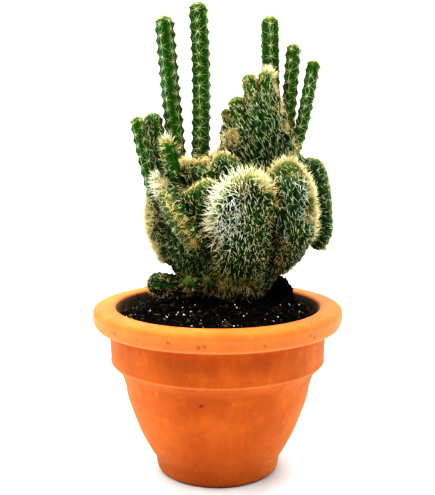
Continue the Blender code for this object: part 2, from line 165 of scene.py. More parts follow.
camera = bpy.data.objects.new("camera", bpy.data.cameras.new("camera"))
camera.data.sensor_fit = "VERTICAL"
camera.data.sensor_height = SENSOR
camera.data.lens = FOCAL_PIXELS / IMAGE_HEIGHT * SENSOR
camera.data.shift_x = CAMERA_SHIFT / IMAGE_HEIGHT
camera.data.clip_start = 0.01
camera.location = Vector(CAMERA_AT) * MM
camera.rotation_euler = (math.radians(90 - CAMERA_DOWN), 0, 0)
bpy.context.scene.collection.objects.link(camera)
bpy.context.scene.camera = camera
bpy.context.scene.view_settings.view_transform = "Standard"
bpy.context.scene.view_settings.look = "High Contrast"

tent = bpy.data.worlds.new("white tent")
tent.use_nodes = True
tree = tent.node_tree
white = tree.nodes["Background"]
set_node(tree, white, {"Color": linear("FFFFFF"), "Strength": TENT_SEEN})
dim = add_node(tree, "Background", {"Color": linear("FFFFFF"), "Strength": TENT_LIGHT})
seen = add_node(tree, "LightPath", {})
both = add_node(tree, "MixShader", {0: seen, 1: dim, 2: white})
set_node(tree, tree.nodes["World Output"], {"Surface": both})
bpy.context.scene.world = tent
add_lamp("top lamp", TOP_LAMP)
add_lamp("left lamp", LEFT_LAMP, SIDE_COLOUR)
add_lamp("right lamp", RIGHT_LAMP, SIDE_COLOUR)
add_lamp("far lamp", FAR_LAMP)

# The table is painted a matt warm white, and only the camera sees it fade out.
table_paint, tree, shader = new_material("white_matt_table")
set_node(tree, shader, {"Base Color": linear("D2D0CD"), "Roughness": 0.9})
place = add_node(tree, "TexCoord", {}).outputs["Object"]
away = add_node(tree, "VectorMath", {"operation": "LENGTH", 0: place})
near, far = [distance * MM for distance in TABLE_FADE]
fade = add_node(tree, "MapRange", {"From Min": near, "From Max": far, "Value": away})
seen = add_node(tree, "LightPath", {})
amount = add_node(tree, "Math", {"operation": "MULTIPLY", 0: fade, 1: seen})
white = add_node(tree, "Emission", {"Color": linear("FFFFFF"), "Strength": TENT_SEEN})
both = add_node(tree, "MixShader", {0: amount, 1: shader, 2: white})
set_node(tree, tree.nodes["Material Output"], {"Surface": both})
bm = bmesh.new()
bmesh.ops.create_grid(bm, x_segments=1, y_segments=1, size=TABLE_WIDTH / 2)
table_mesh = finish_mesh("table", bm)
table_mesh.materials.append(table_paint)
table = bpy.data.objects.new("table", table_mesh)
bpy.context.scene.collection.objects.link(table)

# The pot: red earthenware clay thrown on a wheel and fired without glaze. It has a rolled
# rim with a rough lower lip, a straight collar under it, and a round body down to the foot.
POT_HEIGHT = 102.0
POT_TURNS = 280
POT_FINE = 1.0
POT_COARSE = 3.6
POT_WELD = 0.01
DRAIN_RADIUS = 6.0
FLOOR_THICKNESS = 7.0
POT_OUTSIDE = [
    (61.3, 101.0), (62.8, 102.0), (68.0, 102.1), (72.2, 101.5), (74.3, 100.1), (74.9, 97.6),
    (74.7, 94.6), (74.1, 92.4), (73.2, 91.0), (72.2, 90.3), (66.8, 89.4), (65.3, 87.4),
    (64.8, 77.0), (64.6, 71.0), (64.8, 69.4), (64.5, 68.4), (63.6, 67.4), (60.8, 64.6),
    (58.7, 61.6), (57.3, 58.0), (56.2, 54.0), (54.8, 46.5), (51.3, 36.0),
    (47.4, 25.7), (41.3, 14.0), (38.4, 9.2), (37.3, 3.4), (36.2, 0.8), (34.0, 0.0),
]
POT_FOOT = [(DRAIN_RADIUS, 0.0), (DRAIN_RADIUS, FLOOR_THICKNESS)]
POT_INSIDE = [
    (29.5, FLOOR_THICKNESS), (37.0, 16.0), (45.0, 33.0), (52.0, 54.0), (58.0, 72.0),
    (59.4, 86.0), (60.5, 98.5),
]
# The wall is uneven by this height in waves of this size, less so within these distances of
# the foot and of the axis.
WOBBLE_SIZE = 38.0
WOBBLE_HEIGHT = 0.35
WOBBLE_FOOT = 10.0
WOBBLE_MIDDLE = 20.0
# Chips in the rim and a few in the body, as angle round from +X, height, radius and depth.
CHIPS = [
    (-139, 96.0, 1.0, 0.35), (-125, 95.4, 0.8, 0.25), (-110, 95.8, 1.0, 0.35),
    (-106.3, 94.6, 0.8, 0.3), (-97.5, 94.4, 0.9, 0.35), (-95.6, 94.9, 1.0, 0.4),
    (-48, 96.0, 1.0, 0.3), (-45, 94.6, 0.9, 0.3), (-71, 94.4, 0.8, 0.25), (35, 94.8, 1.5, 0.4),
    (84, 93.2, 1.8, 0.5), (140, 94.0, 1.3, 0.4), (-99.5, 56.5, 1.0, 0.35),
    (-98.6, 57.0, 0.8, 0.3), (-67, 57.5, 0.7, 0.2), (60, 40.0, 1.2, 0.4),
]
# A chip's edge is ragged by a share of its radius, in a grain of this size, and nothing is
# chipped further away than this many radii.
CHIP_RAGGED = 0.5
CHIP_GRAIN = 1.5
CHIP_REACH = 3.0
# Damp: how high it rises from the foot, and where the inner wall is darkened almost to black,
# partly as the soil's damp and partly as painted shade under the rim, which is inwards between
# two radii, down between two heights, and above a third height.
FOOT_DAMP_TOP = 20.0
INNER_DAMP_SHADE_RADII = (62.8, 61.6)
INNER_DAMP_SHADE_HEIGHTS = (102.0, 100.2)
INNER_DAMP_SHADE_FOOT = 80.0
CURVE_STEPS = 40


def smooth_curve(points):
    """Closely spaced rows on a smooth curve through a few points, in any number of columns."""
    ends = np.array([points[0], *points, points[-1]], float)
    u = np.linspace(0, 1, CURVE_STEPS, endpoint=False)[:, None]
    spans = [0.5 * (2 * b + (c - a) * u + (2 * a - 5 * b + 4 * c - d) * u ** 2
                    + (3 * b - a - 3 * c + d) * u ** 3)
             for a, b, c, d in zip(ends, ends[1:], ends[2:], ends[3:])]
    return np.vstack([*spans, ends[-1:]])


def reached(curve):
    """The length of a curve up to each of its rows."""
    steps = np.linalg.norm(np.diff(curve, axis=0), axis=1)
    return np.concatenate([[0.0], np.cumsum(steps)])


def along(curve, share, inset=0.0):
    """Points at a share of the way along a curve, counted between two insets at its ends."""
    length = reached(curve)
    inset = min(inset, 0.4 * length[-1])
    goal = inset + (length[-1] - 2 * inset) * np.clip(share, 0, 1)
    columns = [np.interp(goal, length, column) for column in curve.T]
    return np.stack(columns, axis=-1)


def add_piece(name, mesh, finish):
    """Links a finished mesh as a piece that stands with the pot, in one material slot."""
    mesh.materials.clear()
    mesh.materials.append(finish)
    made = bpy.data.objects.new(name, mesh)
    bpy.context.scene.collection.objects.link(made)
    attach(made, "root")
    return made


def keep_float(mesh, name, values):
    """Stores one number for each vertex, for the material to read."""
    kept = mesh.attributes.new(name, "FLOAT", "POINT")
    kept.data.foreach_set("value", np.ascontiguousarray(values, dtype=np.float32))


def pot_profile():
    """Radius and height round the pot's whole section, with close steps on the outside."""
    made = []
    for part in (POT_OUTSIDE, POT_INSIDE):
        curve = smooth_curve(part)
        length = reached(curve)
        at = 0.0
        while at < length[-1]:
            made.append([np.interp(at, length, column) for column in curve.T])
            at += POT_FINE if part is POT_OUTSIDE else POT_COARSE
        made.append(list(part[-1]))
        if part is POT_OUTSIDE:
            made += [list(point) for point in POT_FOOT]
    return made


def wobble(x, y, z):
    """The potter's uneven pull, which dies out at the foot and round the drain hole."""
    pull = noise.noise(Vector((x, y, z)) / WOBBLE_SIZE) * WOBBLE_HEIGHT
    outer = max(0.0, math.hypot(x, y) - WOBBLE_MIDDLE) / WOBBLE_MIDDLE
    return pull * min(1.0, z / WOBBLE_FOOT) * min(1.0, outer)


def chipped(x, y, z):
    """How deep the chips are at a point of the pot's wall."""
    radius = math.hypot(x, y)
    deep = 0.0
    for turn, height, size, depth in CHIPS:
        angle = math.radians(turn)
        away = Vector((x - radius * math.cos(angle), y - radius * math.sin(angle), z - height))
        ragged = size * (1 + CHIP_RAGGED * noise.noise(Vector((x, y, z)) / CHIP_GRAIN))
        if away.length < CHIP_REACH * size:
            deep += depth * math.exp(-(away.length / ragged) ** 3)
    return deep


bm = bmesh.new()
section = [bm.verts.new((radius, 0, height)) for radius, height in pot_profile()]
ring = [bm.edges.new(pair) for pair in zip(section, section[1:] + section[:1])]
bmesh.ops.spin(bm, geom=section + ring, cent=(0, 0, 0), axis=(0, 0, 1),
               angle=2 * math.pi, steps=POT_TURNS, use_merge=True)
bmesh.ops.remove_doubles(bm, verts=bm.verts, dist=POT_WELD)
bmesh.ops.recalc_face_normals(bm, faces=bm.faces)
chips = [chipped(*vert.co) for vert in bm.verts]
for vert, deep in zip(bm.verts, chips):
    outward = Vector((vert.co.x, vert.co.y, 0)).normalized()
    vert.co += outward * (wobble(*vert.co) - deep)
pot_mesh = finish_mesh("clay_pot", bm)
keep_float(pot_mesh, "chip", chips)

# Unglazed terracotta: fine sandy grain, faint turning marks, blotches from the kiln, a darker
# damp stain at the foot, damp stains with painted shade under the rim and the collar's edge,
# paler worn edges with painted highlights on them and on the rim's face, damp and painted shade
# on the inner wall, a few dark pits, a thin pale bloom of salts and a dusty sheen.
terracotta, tree, shader = new_material("unglazed_terracotta")
place = add_node(tree, "TexCoord", {}).outputs["Object"]
split = add_node(tree, "SeparateXYZ", {"Vector": place})
rise = split.outputs["Z"]
level = add_node(tree, "MapRange", {"From Max": POT_HEIGHT * MM, "Value": rise})
flat = add_node(tree, "CombineXYZ", {"X": split.outputs["X"], "Y": split.outputs["Y"]})
inside = add_node(tree, "VectorMath", {"operation": "LENGTH", 0: flat})
upright = add_node(tree, "Mapping", {"Scale": (1.0, 1.0, 0.2), "Vector": place})
turned = add_node(tree, "Mapping", {"Scale": (0.05, 0.05, 1.0), "Vector": place})
chip = add_node(tree, "Attribute", {"attribute_name": "chip"})
outer_radius, inner_radius = [radius * MM for radius in INNER_DAMP_SHADE_RADII]
dry_height, wet_shade_height = [height * MM for height in INNER_DAMP_SHADE_HEIGHTS]
# Each noise is its grain in millimetres, its detail, its roughness and what it is laid on.
blotch, streak, rust, salt, grain, turning = [
    add_node(tree, "TexNoise", {"Scale": 1 / (size * MM), "Detail": detail, "Roughness": rough,
                                "Vector": laid})
    for size, detail, rough, laid in [
        (26, 5.0, 0.62, place), (3.4, 6.0, 0.72, upright), (9, 6.0, 0.7, place),
        (3.2, 3.0, 0.7, place), (0.9, 4.0, 0.7, place), (1.6, 2.0, 0.5, turned)]]
# Each share grows from nothing to its most between two values of its source.
streaks, foot_damp, rust_spots, pits, salts, inner, wet_shade = [
    add_node(tree, "MapRange", {"From Min": first, "From Max": last, "To Max": most,
                                "Value": source})
    for first, last, most, source in [
        (0.48, 0.75, 0.36, streak), (FOOT_DAMP_TOP * MM, 0.0, 0.16, rise),
        (0.40, 0.62, 0.6, rust), (0.04, 0.4, 0.8, chip), (0.66, 0.80, 0.55, salt),
        (outer_radius, inner_radius, 1.0, inside), (dry_height, wet_shade_height, 0.97, rise)]]
high = add_node(tree, "Math", {"operation": "GREATER_THAN", 0: rise, 1: INNER_DAMP_SHADE_FOOT * MM})
# Painted shade with damp stains: darker under the rim's lip and under the collar's lower edge,
# where the overhangs shade the wall, broken up by the rust noise.
collar_shade_band = add_node(tree, "ValToRGB", {"Fac": level, "stops": [
    (0.0, "000000"), (0.56, "000000"), (0.62, "A0A0A0"), (0.66, "B0B0B0"), (0.672, "202020"),
    (0.72, "505050"), (0.82, "A0A0A0"), (0.885, "D8D8D8"), (0.895, "303030"), (0.96, "000000")]})
# Worn edges and painted highlight: paler lines on the collar's edge and the rim's lower edge, and a
# paler band on the rim's outer face where the top lamp falls.
worn_and_highlight = add_node(tree, "ValToRGB", {"Fac": level, "stops": [
    (0.0, "000000"), (0.664, "000000"), (0.674, "909090"), (0.684, "000000"), (0.885, "000000"),
    (0.893, "A8A8A8"), (0.905, "848484"), (0.955, "848484"), (0.985, "000000")]})
foot_stain, collar_stain_and_shade, inner_wet_and_shade = [
    add_node(tree, "Math", {"operation": "MULTIPLY", 0: first, 1: second})
    for first, second in [(foot_damp, blotch), (collar_shade_band, rust_spots), (inner, wet_shade)]]
# Damp and painted shade on the inner wall above the soil.
inner_damp_and_shade = add_node(tree, "Math", {"operation": "MULTIPLY", 0: inner_wet_and_shade, 1: high})
clay = add_node(tree, "ValToRGB", {"Fac": blotch, "stops": [
    (0.30, "AE551C"), (0.45, "B85C1E"), (0.56, "C06221"), (0.72, "CB6C29")]})
for colour, amount in [
        ("A83C12", streaks), ("8E2C0C", foot_stain), ("93330F", collar_stain_and_shade), ("EBAC6C", worn_and_highlight),
        ("3E1206", pits), ("F6B583", salts), ("1C0803", inner_damp_and_shade)]:
    clay = add_node(tree, "Mix", {"data_type": "RGBA", 0: amount, 6: clay, 7: linear(colour)})
grain_bump = add_node(tree, "Bump", {"Strength": 0.55, "Distance": 0.25 * MM, "Height": grain})
turning_bump = add_node(tree, "Bump", {"Strength": 0.35, "Distance": 0.3 * MM, "Height": turning,
                                       "Normal": grain_bump})
roughness = add_node(tree, "MapRange", {"To Min": 0.62, "To Max": 0.86, "Value": rust})
set_node(tree, shader, {
    "Base Color": clay, "Roughness": roughness, "Normal": turning_bump,
    "Specular IOR Level": 0.15, "Sheen Weight": 0.14, "Sheen Roughness": 0.45,
    "Sheen Tint": linear("FFDCA8")})
clay_pot = add_piece("clay_pot", pot_mesh, terracotta)
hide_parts("pot")

# The soil: dark peat with bark crumbs and a few white grains of perlite, heaped round the
# stem, with one clod on the right, loose fibres and a broken twig on the left.
SOIL_TURNS = 176
SOIL_RINGS = 44
SOIL_WALL_RADIUS = 58.9
SOIL_WALL_HEIGHT = 94.0
SOIL_WALL = [(radius, height) for radius, height in POT_INSIDE if height < SOIL_WALL_HEIGHT][::-1]
SOIL_LEVELS = 3 + SOIL_RINGS + len(SOIL_WALL)
SOIL_STEM_HEIGHT = 106.5
SOIL_MOUND_POWER = 1.3
SOIL_GAP = 0.3
GRID_WELD = 0.004
CLOD_CENTRE = (38.5, 9.0)
CLOD_HEIGHT = 13.0
CLOD_SPREAD = 9.0
STEM_CENTRE = (6.0, 0.0)
STEM_HALF_WIDTH = 23.0
STEM_HALF_DEPTH = 15.5
STEM_FOOT = 72.0
# Lumps as size and height, and how fast they rise away from the wall and from the stem.
CRUMB_WAVES = [(7.0, 0.9), (3.5, 1.1), (1.9, 0.8)]
CALM_AT_WALL = 4
CALM_AT_STEM = 3
# A little over a full turn, for copies that may face any way.
ANY_TURN = 6.3
CRUMB_COUNT = 5200
CRUMB_SIZES = (0.45, 1.5)
# Grains lie between two shares of the way to the wall. Their shape is how much each of their
# three widths may be less or more than their size, and a higher fineness makes more small ones.
CRUMB_SHARES = (0.01, 0.995)
CRUMB_SHAPE = (0.55, 1.25)
CRUMB_FINENESS = 2.5
CRUMB_ROUGHNESS = 0.5
CRUMB_LIFT = 0.3
LUMP_NOISE = 1.7
# What lies loose on the soil keeps this far off the wall.
SCATTER_GAP = 0.8
PERLITE_CLUSTERS = 36
PERLITE_EACH = 6
PERLITE_SPREAD = 2.4
PERLITE_SIZES = (0.15, 0.65)
PERLITE_HUBS = (0.08, 0.9)
PERLITE_SHARES = (0.03, 0.97)
PERLITE_SHAPE = (0.6, 1.2)
PERLITE_FINENESS = 2
PERLITE_ROUGHNESS = 0.9
PERLITE_LIFT = 0.5
FIBRE_COUNT = 170
FIBRE_RADIUS = 0.16
FIBRE_LENGTHS = (2.5, 8.0)
FIBRE_SHARES = (0.03, 0.97)
FIBRE_SLOPES = (0.02, 0.45)
FIBRE_LIFT = 0.5
FIBRE_CURL = 0.35
# How a needle or a fibre thins: 1 is a straight cone and 0 stays thick up to its tip.
SPIKE_TAPER = 0.2
TWIG = [(-41, -18, 98.5), (-43.5, -21, 104), (-45.5, -23, 108.5), (-46.5, -24.5, 113)]
TWIG_RADII = [0.9, 0.75, 0.6, 0.5, 0.42]


def stem_share(x, y):
    """0 on the edge of the stem's oval and 1 at the pot's wall."""
    away = np.hypot((x - STEM_CENTRE[0]) / STEM_HALF_WIDTH, (y - STEM_CENTRE[1]) / STEM_HALF_DEPTH)
    wall = np.maximum(0.0, SOIL_WALL_RADIUS - np.hypot(x, y))
    inner = 1 - 1 / np.maximum(away, 1.0)
    edge = np.hypot(x - STEM_CENTRE[0], y - STEM_CENTRE[1]) * inner
    return edge / np.maximum(edge + wall, 1e-6)


def mound_height(x, y):
    """The soil's heap with its clod, before any crumbs."""
    fall = stem_share(x, y) ** SOIL_MOUND_POWER
    clod = np.exp(-(np.hypot(x - CLOD_CENTRE[0], y - CLOD_CENTRE[1]) / CLOD_SPREAD) ** 4)
    return SOIL_STEM_HEIGHT + (SOIL_WALL_HEIGHT - SOIL_STEM_HEIGHT) * fall + CLOD_HEIGHT * clod


def crumb_height(x, y):
    """Lumps on the heap, which die out at the stem and at the wall."""
    share = stem_share(x, y)
    calm = np.minimum(1.0, np.minimum(CALM_AT_WALL * (1 - share), CALM_AT_STEM * share))
    lumps = [sum(noise.noise(Vector((a / size, b / size, size))) * high
                 for size, high in CRUMB_WAVES) for a, b in zip(x, y)]
    return np.array(lumps) * calm


def soil_height(x, y):
    """The soil's surface with its lumps."""
    return mound_height(x, y) + crumb_height(x, y)


def placed_grid(around, along_count, place):
    """A closed skin: a grid whose points are put where place(turns, levels) says.

    Points that fall together, at the seam and at both ends, are welded.
    """
    bm = bmesh.new()
    bmesh.ops.create_grid(bm, x_segments=around, y_segments=along_count, size=0.5)
    flat = np.array([vert.co[:2] for vert in bm.verts])
    turns = np.round((flat[:, 0] + 0.5) * around).astype(int) % around
    levels = np.round((flat[:, 1] + 0.5) * along_count).astype(int)
    for vert, spot in zip(bm.verts, place(turns, levels)):
        vert.co = spot
    bmesh.ops.remove_doubles(bm, verts=bm.verts, dist=GRID_WELD)
    bmesh.ops.recalc_face_normals(bm, faces=bm.faces)
    return bm


def soil_spots(turns, levels):
    """Level 0 is the hole's floor, then its edge, its mouth, the heap and the pot's wall."""
    angle = 2 * np.pi * turns / SOIL_TURNS
    edge = np.column_stack([np.cos(angle), np.sin(angle), 0 * angle])
    mouth = np.array([*STEM_CENTRE, 0]) + edge * [STEM_HALF_WIDTH + SOIL_GAP,
                                                  STEM_HALF_DEPTH + SOIL_GAP, 0]
    share = np.clip((levels - 2) / SOIL_RINGS, 0, 1)[:, None]
    made = mouth + (edge * (SOIL_WALL_RADIUS - SOIL_GAP) - mouth) * share
    made[:, 2] = soil_height(made[:, 0], made[:, 1])
    made[levels < 2, 2] = STEM_FOOT - SOIL_GAP
    made[levels == 0, :2] = STEM_CENTRE
    side_gap = SOIL_GAP * math.sqrt(2)
    for step, (radius, height) in enumerate(SOIL_WALL):
        here = levels == 3 + SOIL_RINGS + step
        lift = SOIL_GAP * (step == len(SOIL_WALL) - 1)
        made[here] = edge[here] * (radius - side_gap) + [0, 0, height + lift]
    made[levels == SOIL_LEVELS] = (0, 0, FLOOR_THICKNESS + SOIL_GAP)
    return made


def turned_frames(way, roll):
    """Rotations that take +Z to each direction, with a roll about it."""
    way = way / np.linalg.norm(way, axis=1, keepdims=True)
    helper = np.where(np.abs(way[:, 2:]) < 0.9, [[0.0, 0.0, 1.0]], [[1.0, 0.0, 0.0]])
    side = np.cross(helper, way)
    side /= np.linalg.norm(side, axis=1, keepdims=True)
    other = np.cross(way, side)
    cos, sin = np.cos(roll)[:, None], np.sin(roll)[:, None]
    return np.stack([side * cos + other * sin, other * cos - side * sin, way], axis=2)


def stamped_mesh(name, template, spots, frames, sizes, bends=None):
    """One mesh of many copies of a small bmesh, each placed, turned and sized on three axes.

    A copy with a bend leans ever more towards its own +X as it rises along its own +Z.
    """
    template.verts.index_update()
    shape = np.array([vert.co[:] for vert in template.verts])
    faces = np.array([[vert.index for vert in face.verts] for face in template.faces])
    template.free()
    sized = shape[None] * sizes[:, None, :]
    if bends is not None:
        sized[:, :, 0] += (bends * sizes[:, 2])[:, None] * shape[None, :, 2] ** 2
    verts = spots[:, None, :] + np.einsum("nij,nkj->nki", frames, sized)
    links = faces[None] + (np.arange(len(spots)) * len(shape))[:, None, None]
    mesh = bpy.data.meshes.new(name)
    mesh.from_pydata(verts.reshape(-1, 3) * MM, [], links.reshape(-1, faces.shape[1]))
    mesh.shade_smooth()
    keep_float(mesh, "along", np.tile(shape[:, 2], len(spots)))
    return mesh, len(shape)


def lump(subdivisions, roughness):
    """A stone-like lump of radius 1: an icosphere with its points pushed in and out."""
    bm = bmesh.new()
    bmesh.ops.create_icosphere(bm, subdivisions=subdivisions, radius=1.0)
    for vert in bm.verts:
        vert.co *= 1 + roughness * noise.noise(vert.co * LUMP_NOISE)
    return bm


def soil_scatter(count, closest, furthest):
    """Random points on the open soil, from one share of the way to the wall to another."""
    kept = np.empty((0, 2))
    while len(kept) < count:
        tried = draw.uniform(-SOIL_WALL_RADIUS, SOIL_WALL_RADIUS, (4 * count, 2))
        share = stem_share(tried[:, 0], tried[:, 1])
        inside = np.hypot(tried[:, 0], tried[:, 1]) < SOIL_WALL_RADIUS - SCATTER_GAP
        kept = np.vstack([kept, tried[inside & (share > closest) & (share < furthest)]])
    return kept[:count]


soil_mesh = finish_mesh("peat_bed", placed_grid(SOIL_TURNS, SOIL_LEVELS, soil_spots))
crumb_bed = soil_scatter(CRUMB_COUNT, *CRUMB_SHARES)
crumb_size = draw.random(CRUMB_COUNT) ** CRUMB_FINENESS
crumb_size = CRUMB_SIZES[0] + np.diff(CRUMB_SIZES) * crumb_size
crumb_sizes = crumb_size[:, None] * draw.uniform(*CRUMB_SHAPE, (CRUMB_COUNT, 3))
crumb_z = soil_height(*crumb_bed.T) + crumb_size * CRUMB_LIFT
crumb_mesh, crumb_verts = stamped_mesh(
    "peat_crumbs", lump(1, CRUMB_ROUGHNESS), np.column_stack([crumb_bed, crumb_z]),
    turned_frames(draw.normal(size=(CRUMB_COUNT, 3)), draw.uniform(0, ANY_TURN, CRUMB_COUNT)),
    crumb_sizes)
keep_float(crumb_mesh, "shade", np.repeat(draw.random(CRUMB_COUNT), crumb_verts))

# Peat and bark are matt and almost black when damp, with brown and grey crumbs on top.
peat, tree, shader = new_material("damp_peat")
place = add_node(tree, "TexCoord", {}).outputs["Object"]
fleck = add_node(tree, "TexNoise", {"Scale": 1 / (1.7 * MM), "Detail": 6.0, "Roughness": 0.75,
                                    "Vector": place})
flecked = add_node(tree, "ValToRGB", {"Fac": fleck, "stops": [
    (0.35, "030202"), (0.55, "080503"), (0.66, "120C08"), (0.80, "2A1E15")]})
bump = add_node(tree, "Bump", {"Strength": 0.9, "Distance": 0.6 * MM, "Height": fleck})
set_node(tree, shader, {"Base Color": flecked, "Roughness": 0.95, "Specular IOR Level": 0.08,
                        "Normal": bump})
peat_bed = add_piece("peat_bed", soil_mesh, peat)
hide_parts("soil")

bark, tree, shader = new_material("bark_crumbs")
shade = add_node(tree, "Attribute", {"attribute_name": "shade"})
shaded = add_node(tree, "ValToRGB", {"Fac": shade, "stops": [
    (0.0, "040302"), (0.6, "0A0704"), (0.85, "17110A"), (0.95, "2C2013"), (0.99, "5A4834")]})
set_node(tree, shader, {"Base Color": shaded, "Roughness": 0.9, "Specular IOR Level": 0.08})
add_piece("peat_crumbs", crumb_mesh, bark)

hubs = np.repeat(soil_scatter(PERLITE_CLUSTERS, *PERLITE_HUBS), PERLITE_EACH, axis=0)
perlite_bed = hubs + draw.normal(0, PERLITE_SPREAD, hubs.shape)
share = stem_share(*perlite_bed.T)
perlite_bed = perlite_bed[(share > PERLITE_SHARES[0]) & (share < PERLITE_SHARES[1])]
perlite_count = len(perlite_bed)
perlite_size = draw.random(perlite_count) ** PERLITE_FINENESS
perlite_size = PERLITE_SIZES[0] + np.diff(PERLITE_SIZES) * perlite_size
perlite_z = soil_height(*perlite_bed.T) + perlite_size * PERLITE_LIFT
perlite_mesh, _ = stamped_mesh(
    "perlite_grains", lump(2, PERLITE_ROUGHNESS), np.column_stack([perlite_bed, perlite_z]),
    turned_frames(draw.normal(size=(perlite_count, 3)), draw.uniform(0, ANY_TURN, perlite_count)),
    perlite_size[:, None] * draw.uniform(*PERLITE_SHAPE, (perlite_count, 3)))

# Perlite is volcanic glass puffed by heat: chalk white, dry and full of tiny pores.
puffed, tree, shader = new_material("puffed_perlite")
place = add_node(tree, "TexCoord", {}).outputs["Object"]
pores = add_node(tree, "TexVoronoi", {"Scale": 1 / (0.4 * MM), "Vector": place})
chalk = add_node(tree, "ValToRGB", {"Fac": pores, "stops": [(0.05, "B9B2A4"), (0.35, "F4F2EC")]})
set_node(tree, shader, {"Base Color": chalk, "Roughness": 0.9})
add_piece("perlite_grains", perlite_mesh, puffed)


def spike(cuts):
    """A closed three-sided needle up Z, 1 thick at its root and 1 long, cut across so that it
    keeps its thickness almost to the tip and can bend."""
    bm = bmesh.new()
    bmesh.ops.create_cone(bm, cap_ends=True, segments=3, radius1=1.0, radius2=0.0, depth=1.0)
    bmesh.ops.remove_doubles(bm, verts=bm.verts, dist=1e-4)
    bmesh.ops.translate(bm, verts=bm.verts, vec=(0, 0, 0.5))
    for cut in range(1, cuts):
        rise = cut / cuts
        made = bmesh.ops.bisect_plane(bm, geom=bm.verts[:] + bm.edges[:] + bm.faces[:],
                                      plane_co=(0, 0, rise), plane_no=(0, 0, 1))["geom_cut"]
        ring = [part for part in made if isinstance(part, bmesh.types.BMVert)]
        wide = (1 - rise) ** (SPIKE_TAPER - 1)
        bmesh.ops.scale(bm, vec=(wide, wide, 1), verts=ring)
    bmesh.ops.triangulate(bm, faces=bm.faces)
    bmesh.ops.recalc_face_normals(bm, faces=bm.faces)
    return bm


fibre_bed = soil_scatter(FIBRE_COUNT, *FIBRE_SHARES)
fibre_z = soil_height(*fibre_bed.T) + FIBRE_LIFT
fibre_ways = np.column_stack([draw.normal(size=(FIBRE_COUNT, 2)),
                              draw.uniform(*FIBRE_SLOPES, FIBRE_COUNT)])
fibre_sizes = np.column_stack([np.full((FIBRE_COUNT, 2), FIBRE_RADIUS),
                               draw.uniform(*FIBRE_LENGTHS, FIBRE_COUNT)])
fibre_mesh, _ = stamped_mesh(
    "peat_fibres", spike(4), np.column_stack([fibre_bed, fibre_z]),
    turned_frames(fibre_ways, draw.uniform(0, ANY_TURN, FIBRE_COUNT)), fibre_sizes,
    draw.uniform(-FIBRE_CURL, FIBRE_CURL, FIBRE_COUNT))

# Loose root and coir fibres are matt and straw brown, some of them green with algae.
coir, tree, shader = new_material("coir_fibre")
place = add_node(tree, "TexCoord", {}).outputs["Object"]
patch = add_node(tree, "TexNoise", {"Scale": 1 / (6 * MM), "Vector": place})
straw = add_node(tree, "ValToRGB", {"Fac": patch, "stops": [
    (0.40, "1E170E"), (0.52, "45371F"), (0.64, "5E5630")]})
set_node(tree, shader, {"Base Color": straw, "Roughness": 0.85})
add_piece("peat_fibres", fibre_mesh, coir)

bm = bmesh.new()
twig_line = along(smooth_curve(TWIG), np.linspace(0, 1, len(TWIG_RADII)))
bmesh.ops.create_circle(bm, cap_ends=True, segments=7, radius=TWIG_RADII[0])
bmesh.ops.translate(bm, verts=bm.verts, vec=twig_line[0])
end = bm.faces[:]
for step in range(1, len(TWIG_RADII)):
    grown = bmesh.ops.extrude_face_region(bm, geom=end)["geom"]
    end = [part for part in grown if isinstance(part, bmesh.types.BMFace)]
    last_spot, spot = Vector(twig_line[step - 1]), Vector(twig_line[step])
    thinner = TWIG_RADII[step] / TWIG_RADII[step - 1]
    for vert in [part for part in grown if isinstance(part, bmesh.types.BMVert)]:
        vert.co = spot + (vert.co - last_spot) * thinner
bmesh.ops.recalc_face_normals(bm, faces=bm.faces)
twig_mesh = finish_mesh("dead_twig", bm)

# The twig is old bark: nearly black, dull and cracked lengthwise.
old_bark, tree, shader = new_material("old_bark")
place = add_node(tree, "TexCoord", {}).outputs["Object"]
upright = add_node(tree, "Mapping", {"Scale": (1.0, 1.0, 0.2), "Vector": place})
crack = add_node(tree, "TexNoise", {"Scale": 1 / (0.8 * MM), "Detail": 4.0, "Vector": upright})
cracked = add_node(tree, "ValToRGB", {"Fac": crack, "stops": [(0.4, "0D0805"), (0.65, "3A2A1C")]})
bump = add_node(tree, "Bump", {"Strength": 0.8, "Distance": 0.2 * MM, "Height": crack})
set_node(tree, shader, {"Base Color": cracked, "Roughness": 0.9, "Normal": bump})
add_piece("dead_twig", twig_mesh, old_bark)

# The plant's body: one crested columnar cactus. Its growing tips have widened into long
# ridges, so ribs run up both faces of thick fans, and plain ribbed shoots rise among them.
RIB_PITCH = 4.6
RIB_DEPTH = 0.5
RIB_STEPS = 4
# This much of a rib's height is taken off, so that ribs don't make the plant thicker.
RIB_MEAN = 0.6
BUMP_PITCH = 3.8
BUMP_HEIGHT = 0.8
BUMP_STEPS = 4
# A shoot under this radius is slender, and its relief is full at the other.
SLENDER = 6.0
SLENDER_FULL = 4.7
SHOOT_RIB_DEPTH = 0.55
SHOOT_RIB_STEPS = 6
SHOOT_BUMP_PITCH = 6.3
SHOOT_BUMP_HEIGHT = 1.1
SHOOT_BUMP_STEPS = 5
SHOOT_TIP_ROWS = 2
# A fan's thickness at its root and under its ridge, as a share of that halfway up, and
# how far the sheet starts inside the ends of its root, in half thicknesses.
ROOT_SHARE = 0.82
ROOT_INSET = 0.5
# Directions are taken between points about this far apart, as on the CAD model's coarser skin.
SOLID_PITCH = 9.0
SOLID_RING = 8.0
WAVE_SIZE = 24.0
WAVE_HEIGHT = 1.6
# The plant keeps clear of the soil, which lies below this height.
SOIL_CLEARANCE = 1.0
SOIL_BELOW = 130.0
STUMP_TOP = 112.0
STUMP_TURNS = 96
# The trunk's mean radius, and the rows over which its ribs rise from the stump.
TRUNK_RADIUS = 31.0
TRUNK_CALM = 2
FAN_SAMPLES = 20
# A shoot whose line rises less than this share of its length counts as level.
LEVEL_RISE = 0.2
BODY_TRIANGLES = 190000

# Ovals of the trunk: height, centre x, centre y, half width, half depth.
TRUNK_OVALS = [
    (108.5, 6, 0, 22, 15), (112, 6, 0, 25, 17), (124, 5, 0, 32, 20), (138, 6, 0, 38, 22),
    (152, 8, 0, 40, 21), (166, 10, 1, 38, 18), (178, 12, 1, 32, 13), (184, 13, 1, 20, 7),
]

